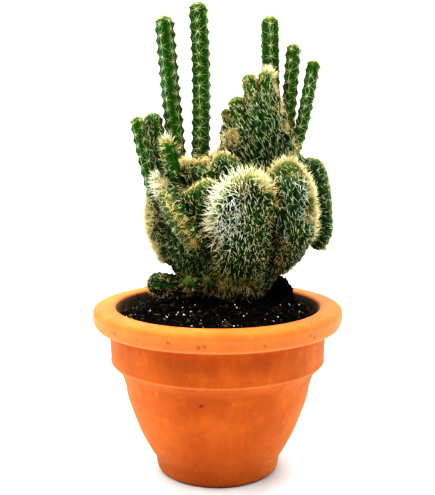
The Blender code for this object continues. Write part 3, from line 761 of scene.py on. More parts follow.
# Fans, as ridge points, root points, half thickness and belly. A ridge runs along the fan's
# outermost edge, a root runs beside it inside the trunk, and a belly swells the sheet.
FANS = {
    "left_front": (
        [(-37, -2, 180), (-34, -14, 175), (-29, -23, 167), (-23, -30, 157),
         (-16, -31, 146), (-11, -26, 135)],
        [(-22, 4, 172), (-18, -6, 160), (-10, -8, 146), (-6, -6, 138)], 8.5, 0.0),
    "left_edge": (
        [(-36, 4, 180), (-41, 1, 168), (-42, -2, 152), (-36, -3, 136), (-28, -3, 123)],
        [(-20, 4, 170), (-20, 2, 158), (-16, 0, 146), (-10, 0, 134)], 8.0, 0.0),
    "left_hollow": (
        [(-29, 6, 184), (-22, 0, 187), (-13, -4, 187), (-4, -2, 187), (2, 4, 186)],
        [(-14, 2, 118), (2, 2, 117)], 11.0, 2.0),
    "left_knuckle": (
        [(-22, -14, 165), (-14, -21, 174), (-5, -22, 178), (3, -17, 172)],
        [(-14, -6, 128), (0, -6, 128)], 9.0, 0.0),
    "middle_thumb": (
        [(-6, -11, 178), (-2, -14, 189), (5, -14, 192), (11, -11, 184)],
        [(0, -4, 150), (8, -4, 150)], 7.5, 0.0),
    "middle_ridge": (
        [(-16, 7, 178), (-8, 5, 186), (0, 4, 193), (7, 4, 201), (13, 4, 212)],
        [(2, 2, 150), (14, 2, 152)], 8.0, 0.0),
    "upper_fan": (
        [(5, 2, 204), (10, 1, 217), (18, -1, 228), (26, -1, 232), (34, 2, 228),
         (39, 4, 216), (44, 4, 202), (48, 3, 186)],
        [(16, 0, 154), (34, 0, 152)], 8.5, 1.5, (6, 1.3)),
    "front_dome": (
        [(-2, -24, 140), (-4, -31, 152), (-2, -36, 164), (4, -39, 174), (13, -40, 180),
         (23, -38, 180), (30, -34, 173), (32, -29, 160)],
        [(9, -21, 141), (9, -24, 152), (14, -26, 159), (21, -23, 153)], 9.0, 0.0),
    "right_front": (
        [(27, -22, 176), (34, -24, 186), (42, -24, 189), (48.5, -23, 184), (52, -22, 175),
         (54.5, -21, 163), (55.5, -19, 151), (51, -15, 139)],
        [(35, -15, 165), (40, -17, 169), (44, -15, 159), (40, -11, 145)], 9.0, 0.0),
    "right_outer": (
        [(44, 7, 186), (54, 6, 190), (62, 4, 187), (67, 2, 174), (69, 1, 158),
         (69, 0, 145), (64, 0, 136), (57, 1, 138)],
        [(42, 5, 174), (50, 4, 172), (54, 3, 158), (50, 2, 148)], 7.5, 0.0),
    "right_shoulder": (
        [(54, -4, 146), (50, -6, 136), (44, -7, 127), (37, -6, 119)],
        [(30, -1, 140), (26, 0, 126)], 9.0, 0.0),
    "front_pups": (
        [(-1, -21, 113), (4, -23, 119), (12, -23, 122), (22, -20, 119)],
        [(4, -11, 110), (18, -11, 110)], 5.0, 0.0),
    "back_left": (
        [(-30, 14, 136), (-37, 22, 150), (-37, 26, 166), (-29, 26, 178), (-15, 22, 183)],
        [(-16, 6, 136), (-18, 8, 150), (-16, 10, 162), (-8, 8, 168)], 9.5, 0.0),
    "back_dome": (
        [(-12, 30, 150), (-9, 37, 168), (-1, 39, 183), (11, 38, 192), (25, 35, 190),
         (34, 31, 176)],
        [(0, 6, 121), (17, 6, 121)], 10.5, -2.0),
    "back_right": (
        [(32, 24, 174), (40, 27, 183), (50, 26, 180), (57, 24, 167), (58, 21, 150),
         (50, 17, 136)],
        [(35, 16, 163), (40, 18, 167), (43, 16, 156), (39, 12, 143)], 9.5, 0.0),
}

# Shoots, as the centre line from the root to the tip, and the radius.
SHOOTS = {
    "tall_left": ([(-23, 6, 168), (-26, 9, 207), (-29, 10, 240), (-31.5, 8, 272)], 4.7),
    "tall_middle": ([(-11, 6, 170), (-10, 9, 208), (-10, 9, 245), (-11.6, 8, 280)], 4.7),
    "tall_right": ([(33, 8, 200), (31.5, 10, 235), (30.5, 9, 272)], 4.6),
    "right_inner": ([(40, 5, 185), (42, 6, 216), (44.7, 6, 256)], 3.7),
    "right_slim": ([(42, 4, 185), (50, 4, 210), (56.6, 4, 246.5)], 3.4),
    "left_finger_outer": ([(-37, -1, 166), (-43, -2, 191), (-47.4, -2, 213.5)], 3.5),
    "left_finger": ([(-30, 4, 168), (-35.5, 6, 194), (-39, 6, 216)], 4.7),
    "left_thumb": ([(-22, -8, 168), (-26, -13, 186), (-29, -15, 200)], 3.4),
    "fan_finger_low": ([(12, 2, 196), (9, 2, 206), (4, 2, 218)], 3.0),
    "fan_finger": ([(17, -2, 202), (13, -2, 214), (10, -2, 225)], 4.4),
    "fan_finger_high": ([(23, -3, 212), (20, -4, 226), (17.8, -4, 238)], 3.9),
    "fan_finger_top": ([(28, -3, 214), (28, -4, 228), (28, -4, 240)], 4.2),
    "crest_knob": ([(-16, -4, 174), (-18.5, -6, 189)], 4.4),
    "front_head": ([(9, -6, 114), (11, -12, 134), (14, -22, 154), (14, -26, 178)], 16.5),
    "right_head": ([(36, -12, 140), (39, -22, 160), (41, -27, 182)], 9.5),
    "right_cheek": ([(34, -10, 132), (42, -18, 142), (49, -24, 158)], 9.5),
    "left_pup": ([(-18, -3, 113), (-28, -5, 114), (-42, -6, 116)], 6.5),
    "front_pup": ([(-13, -10, 113.5), (-16.5, -21, 121)], 4.6),
    "middle_pup": ([(-4, -12, 113.5), (-5.5, -22, 122.5)], 4.6),
}
SHOOT_RIBS = 6
# How far some shoots are turned about themselves, in ribs.
SHOOT_ROLLS = {"tall_left": 0.08, "tall_middle": 0.35, "tall_right": 0.5, "right_inner": 0.17,
               "right_slim": 0.25}


def unit(rows):
    """Each row's direction."""
    return rows / np.maximum(np.linalg.norm(rows, axis=-1, keepdims=True), 1e-9)


def blend(low, high, share):
    """Rows part of the way from low to high."""
    return low + (high - low) * share[:, None]


def rib_relief(p, q, depth, height, fade):
    """How far the skin stands out: a rib at every whole p, with bumps that step from rib to rib."""
    rib = np.abs(np.cos(np.pi * p))
    phase = 0.5 * (np.round(p) % 2)
    bump = rib * np.cos(np.pi * (q - phase)) ** 2
    return depth * (rib - RIB_MEAN) + height * bump * fade


def settled(spots):
    """Points with growth's slow wave added, kept clear of the soil that the plant leans over."""
    waves = np.array([noise.noise_vector(Vector(spot) / WAVE_SIZE)[:] for spot in spots])
    return above_soil(spots + waves * WAVE_HEIGHT)


def above_soil(spots):
    """Points raised to the soil's clearance where they would lie lower."""
    low = spots[:, 2] < SOIL_BELOW
    x, y = spots[low, 0], spots[low, 1]
    spots = spots.copy()
    spots[low, 2] = np.maximum(spots[low, 2], soil_height(x, y) + SOIL_CLEARANCE)
    return spots


def fan_form(ridge, root, thick, belly, folds=(0, 0.0)):
    """A crested fan as (place, ribs round it, bumps up it): a sheet from root to ridge.

    Ribs go up the front face, round one end, down the back face and round the other end.
    Folds are a number of broad waves along the sheet and their height.
    """
    ridge, root = smooth_curve(ridge), smooth_curve(root)
    length = reached(ridge)[-1] - 2 * thick
    face = max(2, round(length / RIB_PITCH))
    end = max(2, round(math.pi * thick / RIB_PITCH))
    near = 1 / max(2, 2 * round(length / SOLID_PITCH))

    def edges(share):
        """The sheet's foot and top at a share of its length."""
        feet = along(root, share, ROOT_INSET * thick)
        tips = along(ridge, share, thick)
        return feet, tips - unit(tips - feet) * thick

    feet, tops = edges(np.linspace(0, 1, FAN_SAMPLES))
    rows = max(2, round(np.linalg.norm(tops - feet, axis=1).mean() / BUMP_PITCH))
    dome_rows = max(2, round(math.pi / 2 * thick / BUMP_PITCH))

    def place(p, q):
        """The skin at rib p and bump row q. q is -1 where the skin closes inside the trunk."""
        p = p % (2 * (face + end))
        parts = [p < face, p < face + end, p < 2 * face + end]
        share = np.select(parts, [p / face, 1.0, 1 - (p - face - end) / face], 0.0)
        last_turn = 1 + (p - 2 * face - end) / end
        angle = np.select(parts, [0.0, (p - face) / end, 1.0], last_turn) * np.pi
        t = np.clip(q / rows, 0, 1)
        over = np.clip((q - rows) / dome_rows, 0, 1) * np.pi / 2
        feet, tops = edges(share)
        after = blend(*edges(np.minimum(share + near, 1)), t)
        before = blend(*edges(np.maximum(share - near, 0)), t)
        up = unit(tops - feet)
        side = after - before
        side = unit(side - up * (side * up).sum(axis=1, keepdims=True))
        front = np.cross(side, up)
        middle = blend(feet, tops, t) + front * (belly * 4 * t * (1 - t))[:, None]
        plain = thick * (ROOT_SHARE + (1 - ROOT_SHARE) * np.sin(np.pi * t))
        plain = plain + folds[1] * np.cos(2 * np.pi * folds[0] * share) * t
        swell = plain + rib_relief(p, q, RIB_DEPTH, BUMP_HEIGHT, np.cos(over))
        out = np.where(q < 0, 0.0, swell * np.cos(over))
        crest = thick + RIB_DEPTH * (np.abs(np.cos(np.pi * share * face)) - RIB_MEAN)
        bump = rib_relief(p, q, 0.0, BUMP_HEIGHT, np.cos(over))
        crown = (crest + bump) * np.sin(over)
        around = front * np.cos(angle)[:, None] + side * np.sin(angle)[:, None]
        return settled(middle + around * out[:, None] + up * crown[:, None])

    return place, 2 * (face + end), rows + dome_rows


def shoot_form(line, radius, roll):
    """A round shoot as (place, ribs round it, bumps up it), with a round tip."""
    curve = smooth_curve(line)
    length = reached(curve)[-1]
    slim = radius < SLENDER
    pitch = SHOOT_BUMP_PITCH if slim else BUMP_PITCH
    depth = SHOOT_RIB_DEPTH * radius / SLENDER_FULL if slim else RIB_DEPTH
    height = SHOOT_BUMP_HEIGHT * radius / SLENDER_FULL if slim else BUMP_HEIGHT
    ribs = SHOOT_RIBS if slim else 2 * round(math.pi * radius / RIB_PITCH)
    rows = max(2, round((length - radius) / pitch))
    dome_rows = SHOOT_TIP_ROWS if slim else max(2, round(math.pi / 2 * radius / pitch))
    near = min(1.0, SOLID_RING / length)
    ends = along(curve, np.array([1 - near, 1.0]))
    shift = unit(ends[1:] - ends[:1]) * radius
    level = abs(unit(curve[-1:] - curve[:1])[0, 2]) < LEVEL_RISE
    helper = np.array([[0.0, 0.0, 1.0]] if level else [[1.0, 0.0, 0.0]])

    def centre(share):
        """The middle of the shoot, drawn back so that its round tip ends where the line does."""
        return along(curve, share) - shift * share[:, None]

    def place(p, q):
        """The skin at rib p and bump row q. q is -1 where the skin closes inside the trunk."""
        share = np.clip(q / rows, 0, 1)
        up = unit(centre(np.minimum(share + near, 1)) - centre(np.maximum(share - near, 0)))
        side = unit(helper - up * (helper * up).sum(axis=1, keepdims=True))
        other = np.cross(up, side)
        over = np.clip((q - rows) / dome_rows, 0, 1) * np.pi / 2
        angle = 2 * np.pi * (p + roll) / ribs
        swell = radius + rib_relief(p, q, depth, height, np.cos(over))
        out = np.where(q < 0, 0.0, swell * np.cos(over))
        around = side * np.cos(angle)[:, None] + other * np.sin(angle)[:, None]
        spots = centre(share) + around * out[:, None] + up * (radius * np.sin(over))[:, None]
        return above_soil(spots)

    return place, ribs, rows + dome_rows


def trunk_form():
    """The flattened trunk as (place, ribs round it, bumps up it)."""
    ovals = smooth_curve(TRUNK_OVALS)
    ribs = 2 * round(math.pi * TRUNK_RADIUS / RIB_PITCH)
    rows = round((TRUNK_OVALS[-1][0] - TRUNK_OVALS[0][0]) / BUMP_PITCH)

    def place(p, q):
        """The skin at rib p and bump row q. q is -1 where the skin closes inside the trunk."""
        height, x, y, wide, deep = along(ovals, np.clip(q / rows, 0, 1)).T
        relief = rib_relief(p, q, RIB_DEPTH, BUMP_HEIGHT, 1.0) * np.clip(q / TRUNK_CALM, 0, 1)
        closed = (q < 0) | (q > rows)
        angle = 2 * np.pi * p / ribs
        out_x = np.where(closed, 0.0, wide + relief) * np.cos(angle)
        out_y = np.where(closed, 0.0, deep + relief) * np.sin(angle)
        return above_soil(np.column_stack([x + out_x, y + out_y, height]))

    return place, ribs, rows + 1


def skin(form, steps):
    """The closed mesh of a form, with a few steps across each rib and up each bump."""
    place, ribs, rows = form
    across, up = steps

    def spots(turns, levels):
        """Level 0 closes the root."""
        return place(turns / across, np.where(levels == 0, -1.0, (levels - 1) / up))

    return placed_grid(ribs * across, 1 + rows * up, spots)


def stump_spots(turns, levels):
    """The smooth oval foot that stands in the soil's hole, closed on its middle at both ends."""
    angle = 2 * np.pi * turns / STUMP_TURNS
    open_ring = ((levels == 1) | (levels == 2))[:, None]
    edge = np.column_stack([STEM_HALF_WIDTH * np.cos(angle), STEM_HALF_DEPTH * np.sin(angle)])
    height = np.where(levels < 2, STEM_FOOT, STUMP_TOP)
    return np.column_stack([STEM_CENTRE + edge * open_ring, height])


def apply_modifiers(piece):
    """Replaces an object's mesh by what its modifiers make of it."""
    bpy.context.view_layer.update()
    shaped = piece.evaluated_get(bpy.context.evaluated_depsgraph_get())
    mesh = bpy.data.meshes.new_from_object(shaped)
    piece.modifiers.clear()
    piece.data = mesh


def drop_scraps(mesh):
    """Keeps the largest shell, which fills sealed hollows and drops loose bits."""
    bm = bmesh.new()
    bm.from_mesh(mesh)
    waiting = set(bm.verts)
    shells = []
    while waiting:
        shell = []
        edge = [waiting.pop()]
        while edge:
            vert = edge.pop()
            shell.append(vert)
            for link in vert.link_edges:
                other = link.other_vert(vert)
                if other in waiting:
                    waiting.remove(other)
                    edge.append(other)
        shells.append(shell)
    largest = max(shells, key=len)
    scraps = [vert for shell in shells if shell is not largest for vert in shell]
    bmesh.ops.delete(bm, geom=scraps, context="VERTS")
    bm.to_mesh(mesh)
    bm.free()


forms = {"trunk": trunk_form()}
forms.update({name: fan_form(*shape) for name, shape in FANS.items()})
forms.update({name: shoot_form(*shape, SHOOT_ROLLS.get(name, 0.0))
              for name, shape in SHOOTS.items()})
slender = {name for name, (_, radius) in SHOOTS.items() if radius < SLENDER}

stump = finish_mesh("cactus_body", placed_grid(STUMP_TURNS, 3, stump_spots))
body = bpy.data.objects.new("cactus_body", stump)
bpy.context.scene.collection.objects.link(body)
grown = bpy.data.collections.new("grown")
bpy.context.scene.collection.children.link(grown)
for name, form in forms.items():
    steps = (SHOOT_RIB_STEPS, SHOOT_BUMP_STEPS) if name in slender else (RIB_STEPS, BUMP_STEPS)
    grown.objects.link(bpy.data.objects.new(name, finish_mesh(name, skin(form, steps))))
union = body.modifiers.new("union", "BOOLEAN")
union.operation = "UNION"
union.operand_type = "COLLECTION"
union.collection = grown
union.solver = "MANIFOLD"
apply_modifiers(body)
for piece in list(grown.objects):
    bpy.data.objects.remove(piece)
bpy.data.collections.remove(grown)
drop_scraps(body.data)
thin = body.modifiers.new("thin", "DECIMATE")
body.data.calc_loop_triangles()
thin.ratio = min(1.0, BODY_TRIANGLES / len(body.data.loop_triangles))
apply_modifiers(body)
cactus_mesh = body.data
bpy.data.objects.remove(body)
cactus_mesh.shade_smooth()

# Where each areole sits: a small felt pad from which the spines grow, one on every bump of a
# plain shoot, and crowded on the fans. The crests are the fans' growing edges.
PLAIN_SHOOTS = {"tall_left", "tall_middle", "tall_right", "right_inner", "right_slim",
                "left_finger_outer"}
GREEN_SHOOTS = PLAIN_SHOOTS | {"left_thumb"}
DOME = ("front_dome", "front_head")
# An areole is kept where it lies this close to the joined skin.
SKIN_TOUCH = 0.5
CREST_STEP = 1.3
# How far young growth reaches from a crest and from a tip, and how far its paler skin does.
CREST_BAND = 5.5
TIP_BAND = 8.0
YOUNG_BAND = 4.5
# Areoles start at the first height above the soil, and growth is old up to the second.
BASE_BAND = (2.0, 26.0)
# In ribs or bumps: how far apart the skin is sampled, how far areoles stray and how far they
# stay below a form's last row, and how far under a crest its way out starts.
SAMPLE_RIBS = 0.25
SAMPLE_BUMPS = 0.5
AREOLE_ASTRAY = 0.3
AREOLE_MARGIN = 0.4
CREST_ROOT = 3
# How high a rib is between its bumps in the skin's painted shade, and how much of its furrow's
# painted shade a slender shoot has.
RIB_SHADE_LOW = 0.65
SLENDER_FURROW_SHADE = 0.4
# Clefts are felt for by rays of this reach, leaning this much, this many round and one ahead.
CLEFT_REACH = 14.0
CLEFT_LEAN = 50.0
CLEFT_RAYS = 5


def skin_data(name):
    """Points all over a form's skin with how near each is to the top of a rib, for the painted
    shade that darkens the furrows.
    """
    place, ribs, rows = forms[name]
    grid = np.meshgrid(np.arange(0, ribs, SAMPLE_RIBS), np.arange(0, rows, SAMPLE_BUMPS))
    p, q = [axis.ravel() for axis in grid]
    bump = np.cos(np.pi * (q - 0.5 * (np.round(p) % 2))) ** 2
    rib = np.abs(np.cos(np.pi * p)) * (RIB_SHADE_LOW + (1 - RIB_SHADE_LOW) * bump)
    return place(p, q), 1 - (1 - rib) * (SLENDER_FURROW_SHADE if name in slender else 1.0)


def grow_tree(spots):
    """A tree that finds the nearest of some points."""
    tree = KDTree(len(spots))
    for i, spot in enumerate(spots):
        tree.insert(spot, i)
    tree.balance()
    return tree


def nearest(tree, spots):
    """The index of the nearest point of a tree and its distance, for each spot."""
    found = [tree.find(spot)[1:] for spot in spots]
    return np.array([i for i, _ in found]), np.array([away for _, away in found])


def areole_spots(form, even):
    """Places for areoles, with the ways out and up the rib: one on the top of every bump, or
    crowded and astray as on a crested fan."""
    place, ribs, rows = form
    step = 1.0 if even else 0.5
    grid = np.meshgrid(np.arange(0, ribs, step), np.arange(0, rows, step))
    p, q = [axis.ravel() for axis in grid]
    if even:
        q = q + 0.5 * (p % 2)
    else:
        p = p + draw.uniform(-AREOLE_ASTRAY, AREOLE_ASTRAY, len(p))
        q = np.maximum(q + draw.uniform(-AREOLE_ASTRAY, AREOLE_ASTRAY, len(q)), 0)
    kept = q < rows - AREOLE_MARGIN
    p, q = p[kept], q[kept]
    across = place(p + 1, q) - place(p - 1, q)
    up = place(p, q + 0.5) - place(p, np.maximum(q - 0.5, 0))
    return place(p, q), unit(np.cross(across, up)), unit(up)


def crest_spots(form, length):
    """Close points along a fan's crest, with the ways out of it and along it, and their shares
    of its length."""
    place, ribs, rows = form
    face = ribs // 2
    share = np.arange(0, 1, CREST_STEP / length)
    p, q = share * face, np.full(len(share), float(rows))
    ahead = place(p + 0.5, q) - place(p - 0.5, q)
    return place(p, q), unit(place(p, q) - place(p, q - CREST_ROOT)), unit(ahead), share


clouds = [skin_data(name) for name in forms]
cloud = np.vstack([spots for spots, _ in clouds])
cloud_rib_shade = np.concatenate([rib for _, rib in clouds])
# The fans, whose skin gets painted shade under their dense spines.
cloud_spine_shade = np.concatenate([np.full(len(rib), name not in GREEN_SHOOTS)
                                for name, (_, rib) in zip(forms, clouds)])
crests = {name: crest_spots(forms[name], reached(smooth_curve(FANS[name][0]))[-1]) for name in FANS}
crest_tree = grow_tree(np.vstack([crest[0] for crest in crests.values()]))
tip_tree = grow_tree(np.array([line[-1] for line, _ in SHOOTS.values()], float))
skin_tree = BVHTree.FromPolygons([vert.co / MM for vert in cactus_mesh.vertices],
                                 [face.vertices[:] for face in cactus_mesh.polygons])


def on_skin(spots):
    """Which points lie on the joined skin and clear of the soil, so not inside another part."""
    close = np.array([skin_tree.find_nearest(spot)[3] < SKIN_TOUCH for spot in spots])
    return close & (spots[:, 2] > mound_height(spots[:, 0], spots[:, 1]) + BASE_BAND[0])


def spread_out(spots, spacing):
    """Keeps points, in order, that are no nearer to each other than a spacing."""
    kept = []
    cells = {}
    for i, spot in enumerate(spots):
        cell = tuple(np.floor(spot / spacing).astype(int))
        around = [cells.get((cell[0] + a, cell[1] + b, cell[2] + c), ())
                  for a in (-1, 0, 1) for b in (-1, 0, 1) for c in (-1, 0, 1)]
        if all(np.linalg.norm(spot - other) >= spacing for group in around for other in group):
            cells.setdefault(cell, []).append(spot)
            kept.append(i)
    return np.array(kept)


def shut_in(spots, ways):
    """How far each point lies in a cleft, from 0 to 1: the share of short rays that hit skin.

    The rays start a millimetre off the skin.
    """
    frames = turned_frames(ways, np.zeros(len(spots)))
    lean = math.radians(CLEFT_LEAN)
    turns = 2 * np.pi * np.arange(CLEFT_RAYS) / CLEFT_RAYS
    rays = [(math.sin(lean) * math.cos(turn), math.sin(lean) * math.sin(turn), math.cos(lean))
            for turn in turns] + [(0, 0, 1)]
    hits = [[skin_tree.ray_cast(spot, aim, CLEFT_REACH)[3] is not None
             for spot, aim in zip(spots + ways, frames @ np.array(ray))] for ray in rays]
    return np.mean(hits, axis=0)


# Each coat is: the space between areoles, spines to an areole, their length, how golden they
# are from 0 for white, the least and most lean away from straight out in degrees, how much
# they are combed, where 1 is a round star, and the comb's turn from the rib in degrees.
COATS = {
    "front_dome": (2.6, 4, 7.6, 0.00, 5, 76, 3.0, 15),
    "front_head": (2.4, 6, 4.8, 0.08, 15, 76, 2.2, 0),
    "right_front": (2.6, 3, 3.8, 0.36, 25, 80, 5.0, 20),
    "right_head": (3.2, 3, 5.6, 0.10, 45, 80, 4.0, 20),
    "right_cheek": (2.6, 4, 3.4, 0.36, 25, 78, 4.0, 30),
    "right_outer": (2.8, 2, 3.8, 0.30, 35, 80, 3.0, 0),
    "right_shoulder": (2.8, 3, 3.6, 0.50, 20, 76, 2.5, 20),
    "left_front": (2.6, 3, 3.4, 0.36, 40, 80, 4.0, 0),
    "left_edge": (2.4, 4, 3.8, 0.36, 25, 80, 2.0, 0),
    "left_hollow": (2.6, 3, 3.2, 0.42, 50, 82, 5.0, 25),
    "left_knuckle": (2.6, 3, 3.2, 0.40, 50, 82, 5.0, 25),
    "middle_thumb": (2.5, 4, 3.2, 0.30, 45, 82, 4.0, 25),
    "middle_ridge": (2.8, 4, 4.4, 0.50, 20, 78, 2.5, 20),
    "upper_fan": (2.2, 3, 3.8, 0.33, 50, 80, 6.0, 30),
    "fan_finger_low": (2.4, 4, 4.2, 0.32, 50, 80, 7.0, 35),
    "fan_finger": (2.4, 4, 4.2, 0.32, 50, 80, 7.0, 35),
    "fan_finger_high": (2.4, 4, 4.2, 0.32, 50, 80, 7.0, 25),
    "fan_finger_top": (2.4, 4, 4.2, 0.36, 50, 80, 7.0, 0),
    "left_finger": (2.5, 3, 3.8, 0.40, 40, 80, 2.0, 0),
    "left_thumb": (3.2, 4, 5.2, 0.34, 0, 42, 1.0, 0),
    "trunk": (2.8, 3, 3.2, 0.45, 40, 80, 4.0, -30),
    "front_pups": (2.6, 4, 4.2, 0.22, 30, 80, 3.0, 0),
    "left_pup": (2.6, 4, 3.0, 0.40, 30, 80, 2.0, 0),
}
SHOOT_COAT = (3.0, 9, 6.2, 0.42, 62, 84, 1.0, 0)
FACE_COAT = (2.8, 3, 4.2, 0.35, 15, 76, 2.0, 0)

sown = []
for name, form in forms.items():
    even = name in PLAIN_SHOOTS
    at, way, rise = areole_spots(form, even)
    spacing, *coat = SHOOT_COAT if even else COATS.get(name, FACE_COAT)
    kept = draw.permutation(np.flatnonzero(on_skin(at)))
    kept = kept[spread_out(at[kept], spacing)]
    sown.append((at[kept], way[kept], rise[kept], np.tile(coat, (len(kept), 1)),
                 np.full(len(kept), even), np.full(len(kept), name in DOME)))
spots, ways, rises, coats, plain, domed = [np.concatenate(rows) for rows in zip(*sown)]

crest_near = np.exp(-(nearest(crest_tree, spots)[1] / CREST_BAND) ** 2) * ~plain
tip_near = np.exp(-(nearest(tip_tree, spots)[1] / TIP_BAND) ** 2)
cleft = shut_in(spots, ways)
height = spots[:, 2] - mound_height(spots[:, 0], spots[:, 1])
old = np.clip((BASE_BAND[1] - height) / BASE_BAND[1], 0, 1) * ~plain

# The plant's skin: waxy green, with painted shade in the furrows, in the clefts and under the
# fans' dense spines, paler and yellower on the young edges and tips, corky brown by the soil,
# with fine grey mottling.
verts = np.array([vert.co[:] for vert in cactus_mesh.vertices]) / MM
vert_ways = np.array([vert.normal[:] for vert in cactus_mesh.vertices])
nearest_skin = nearest(grow_tree(cloud), verts)[0]
# Where the skin gets painted shade: in the furrows, under dense spines and in the clefts.
keep_float(cactus_mesh, "rib", cloud_rib_shade[nearest_skin])
keep_float(cactus_mesh, "crowded", cloud_spine_shade[nearest_skin])
# The share of short rays that hit skin, which sets the painted shade in the clefts.
keep_float(cactus_mesh, "cleft", shut_in(verts, vert_ways))
young_away = np.minimum(nearest(crest_tree, verts)[1], nearest(tip_tree, verts)[1])
keep_float(cactus_mesh, "young", np.exp(-(young_away / YOUNG_BAND) ** 2))
keep_float(cactus_mesh, "height", verts[:, 2] - mound_height(verts[:, 0], verts[:, 1]))

flesh, tree, shader = new_material("waxy_cactus_skin")
place = add_node(tree, "TexCoord", {}).outputs["Object"]
mottle = add_node(tree, "TexNoise", {"Scale": 1 / (2.2 * MM), "Detail": 5.0, "Roughness": 0.65,
                                     "Vector": place})
rib, crowded, young, deep, low = [
    add_node(tree, "Attribute", {"attribute_name": name})
    for name in ("rib", "crowded", "young", "cleft", "height")]
mixed = add_node(tree, "Math", {"operation": "MULTIPLY_ADD", 0: mottle, 1: 0.55, 2: -0.27})
level = add_node(tree, "Math", {"operation": "ADD", 0: rib, 1: mixed})
skin_colour = add_node(tree, "ValToRGB", {"Fac": level, "stops": [
    (0.0, "081802"), (0.45, "102C03"), (0.75, "1B4205"), (1.0, "2C5A08")]})
# Each layer's colour, the two values of its source between which it grows, and its most: painted
# shade under the fans' dense spines, young growth, painted shade in the clefts, and the corky base.
for colour, source, first, last, most in [
        ("070F02", crowded, 0.0, 1.0, 0.14), ("6E7A22", young, 0.2, 1.0, 0.4),
        ("0A1204", deep, 0.05, 0.65, 0.88), ("2E2413", low, 12.0, 1.0, 0.7)]:
    amount = add_node(tree, "MapRange", {"From Min": first, "From Max": last, "To Max": most,
                                         "Value": source})
    skin_colour = add_node(tree, "Mix", {"data_type": "RGBA", 0: amount, 6: skin_colour,
                                         7: linear(colour)})
bump = add_node(tree, "Bump", {"Strength": 0.4, "Distance": 0.25 * MM, "Height": mottle})
set_node(tree, shader, {"Base Color": skin_colour, "Roughness": 0.55,
                        "Specular IOR Level": 0.12, "Normal": bump})
cactus_body = add_piece("cactus_body", cactus_mesh, flesh)
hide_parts("cactus")

# Felt: an areole is a pad of short wool, dull with age and golden near a growing tip. On the
# crowded fans only some of the pads show, and they are smaller.
FELT_SIZE = np.array([0.40, 0.40, 0.34])
FELT_VARIES = (0.8, 1.2)
FELT_LIFT = 0.12
CROWDED_FELT = 0.3
CROWDED_FELT_SIZE = 0.6
felted = plain | (draw.random(len(spots)) < CROWDED_FELT)
bm = bmesh.new()
bmesh.ops.create_icosphere(bm, subdivisions=1, radius=1.0)
felt_size = draw.uniform(*FELT_VARIES, len(spots)) * np.where(plain, 1, CROWDED_FELT_SIZE)
felt_mesh, felt_verts = stamped_mesh(
    "areole_felt", bm, (spots + ways * FELT_LIFT)[felted],
    turned_frames(ways[felted], draw.uniform(0, ANY_TURN, felted.sum())),
    (FELT_SIZE * felt_size[:, None])[felted])
keep_float(felt_mesh, "gold", np.repeat(np.maximum(crest_near, tip_near)[felted], felt_verts))
felt, tree, shader = new_material("areole_wool")
gold = add_node(tree, "Attribute", {"attribute_name": "gold"})
aged = add_node(tree, "ValToRGB", {"Fac": gold, "stops": [(0.0, "5F673B"), (1.0, "B79A55")]})
set_node(tree, shader, {"Base Color": aged, "Roughness": 0.95})
add_piece("areole_felt", felt_mesh, felt)

# Spines: hard straw-like needles, white on the front of the dome, golden where they are young
# along the crests and at the tips, and dull brown and curled near the soil.
SPINE_RADIUS = 0.09
SHOOT_SPINE_RADIUS = 0.068
DOME_SPINE_RADIUS = 0.15
# How a spine varies: shares of its radius and length, a share of the step round its star, and
# its gold.
SPINE_RADII = (0.8, 1.2)
SPINE_LENGTHS = (0.6, 1.15)
SPINE_TURN = 0.35
SPINE_TINT = 0.14
# A spine is felt for from just above the skin, and its root is sunk in.
SPINE_LIFT = 0.2
SPINE_SUNK = 0.5
# A spine grows where this share of its length is free of the plant, and clear of the soil.
SPINE_FREE = 0.6
SPINE_CLEAR = 0.2
# No spine goes further to either side or higher than this.
SPINE_REACH = (77.5, 284.0)
# How far roots stray from their areoles.
CROWDED_ASTRAY = 2.0
CREST_ASTRAY = 3.0
WOOL_ASTRAY = 1.8
needle_wax, tree, shader = new_material("spine_keratin")
gold, rise_share = [add_node(tree, "Attribute", {"attribute_name": name})
                    for name in ("gold", "along")]
straw = add_node(tree, "ValToRGB", {"Fac": gold, "stops": [
    (0.0, "FAF9F2"), (0.34, "E8E7B6"), (0.5, "EBDDA6"), (0.65, "E3C98A"), (0.85, "CBA257"),
    (1.0, "7E5C32")]})
tip_dark = add_node(tree, "MapRange", {"From Min": 0.85, "To Max": 0.15, "Value": rise_share})
tipped = add_node(tree, "Mix", {"data_type": "RGBA", 0: tip_dark, 6: straw,
                                7: linear("A98A55")})
set_node(tree, shader, {"Base Color": tipped, "Roughness": 0.5})


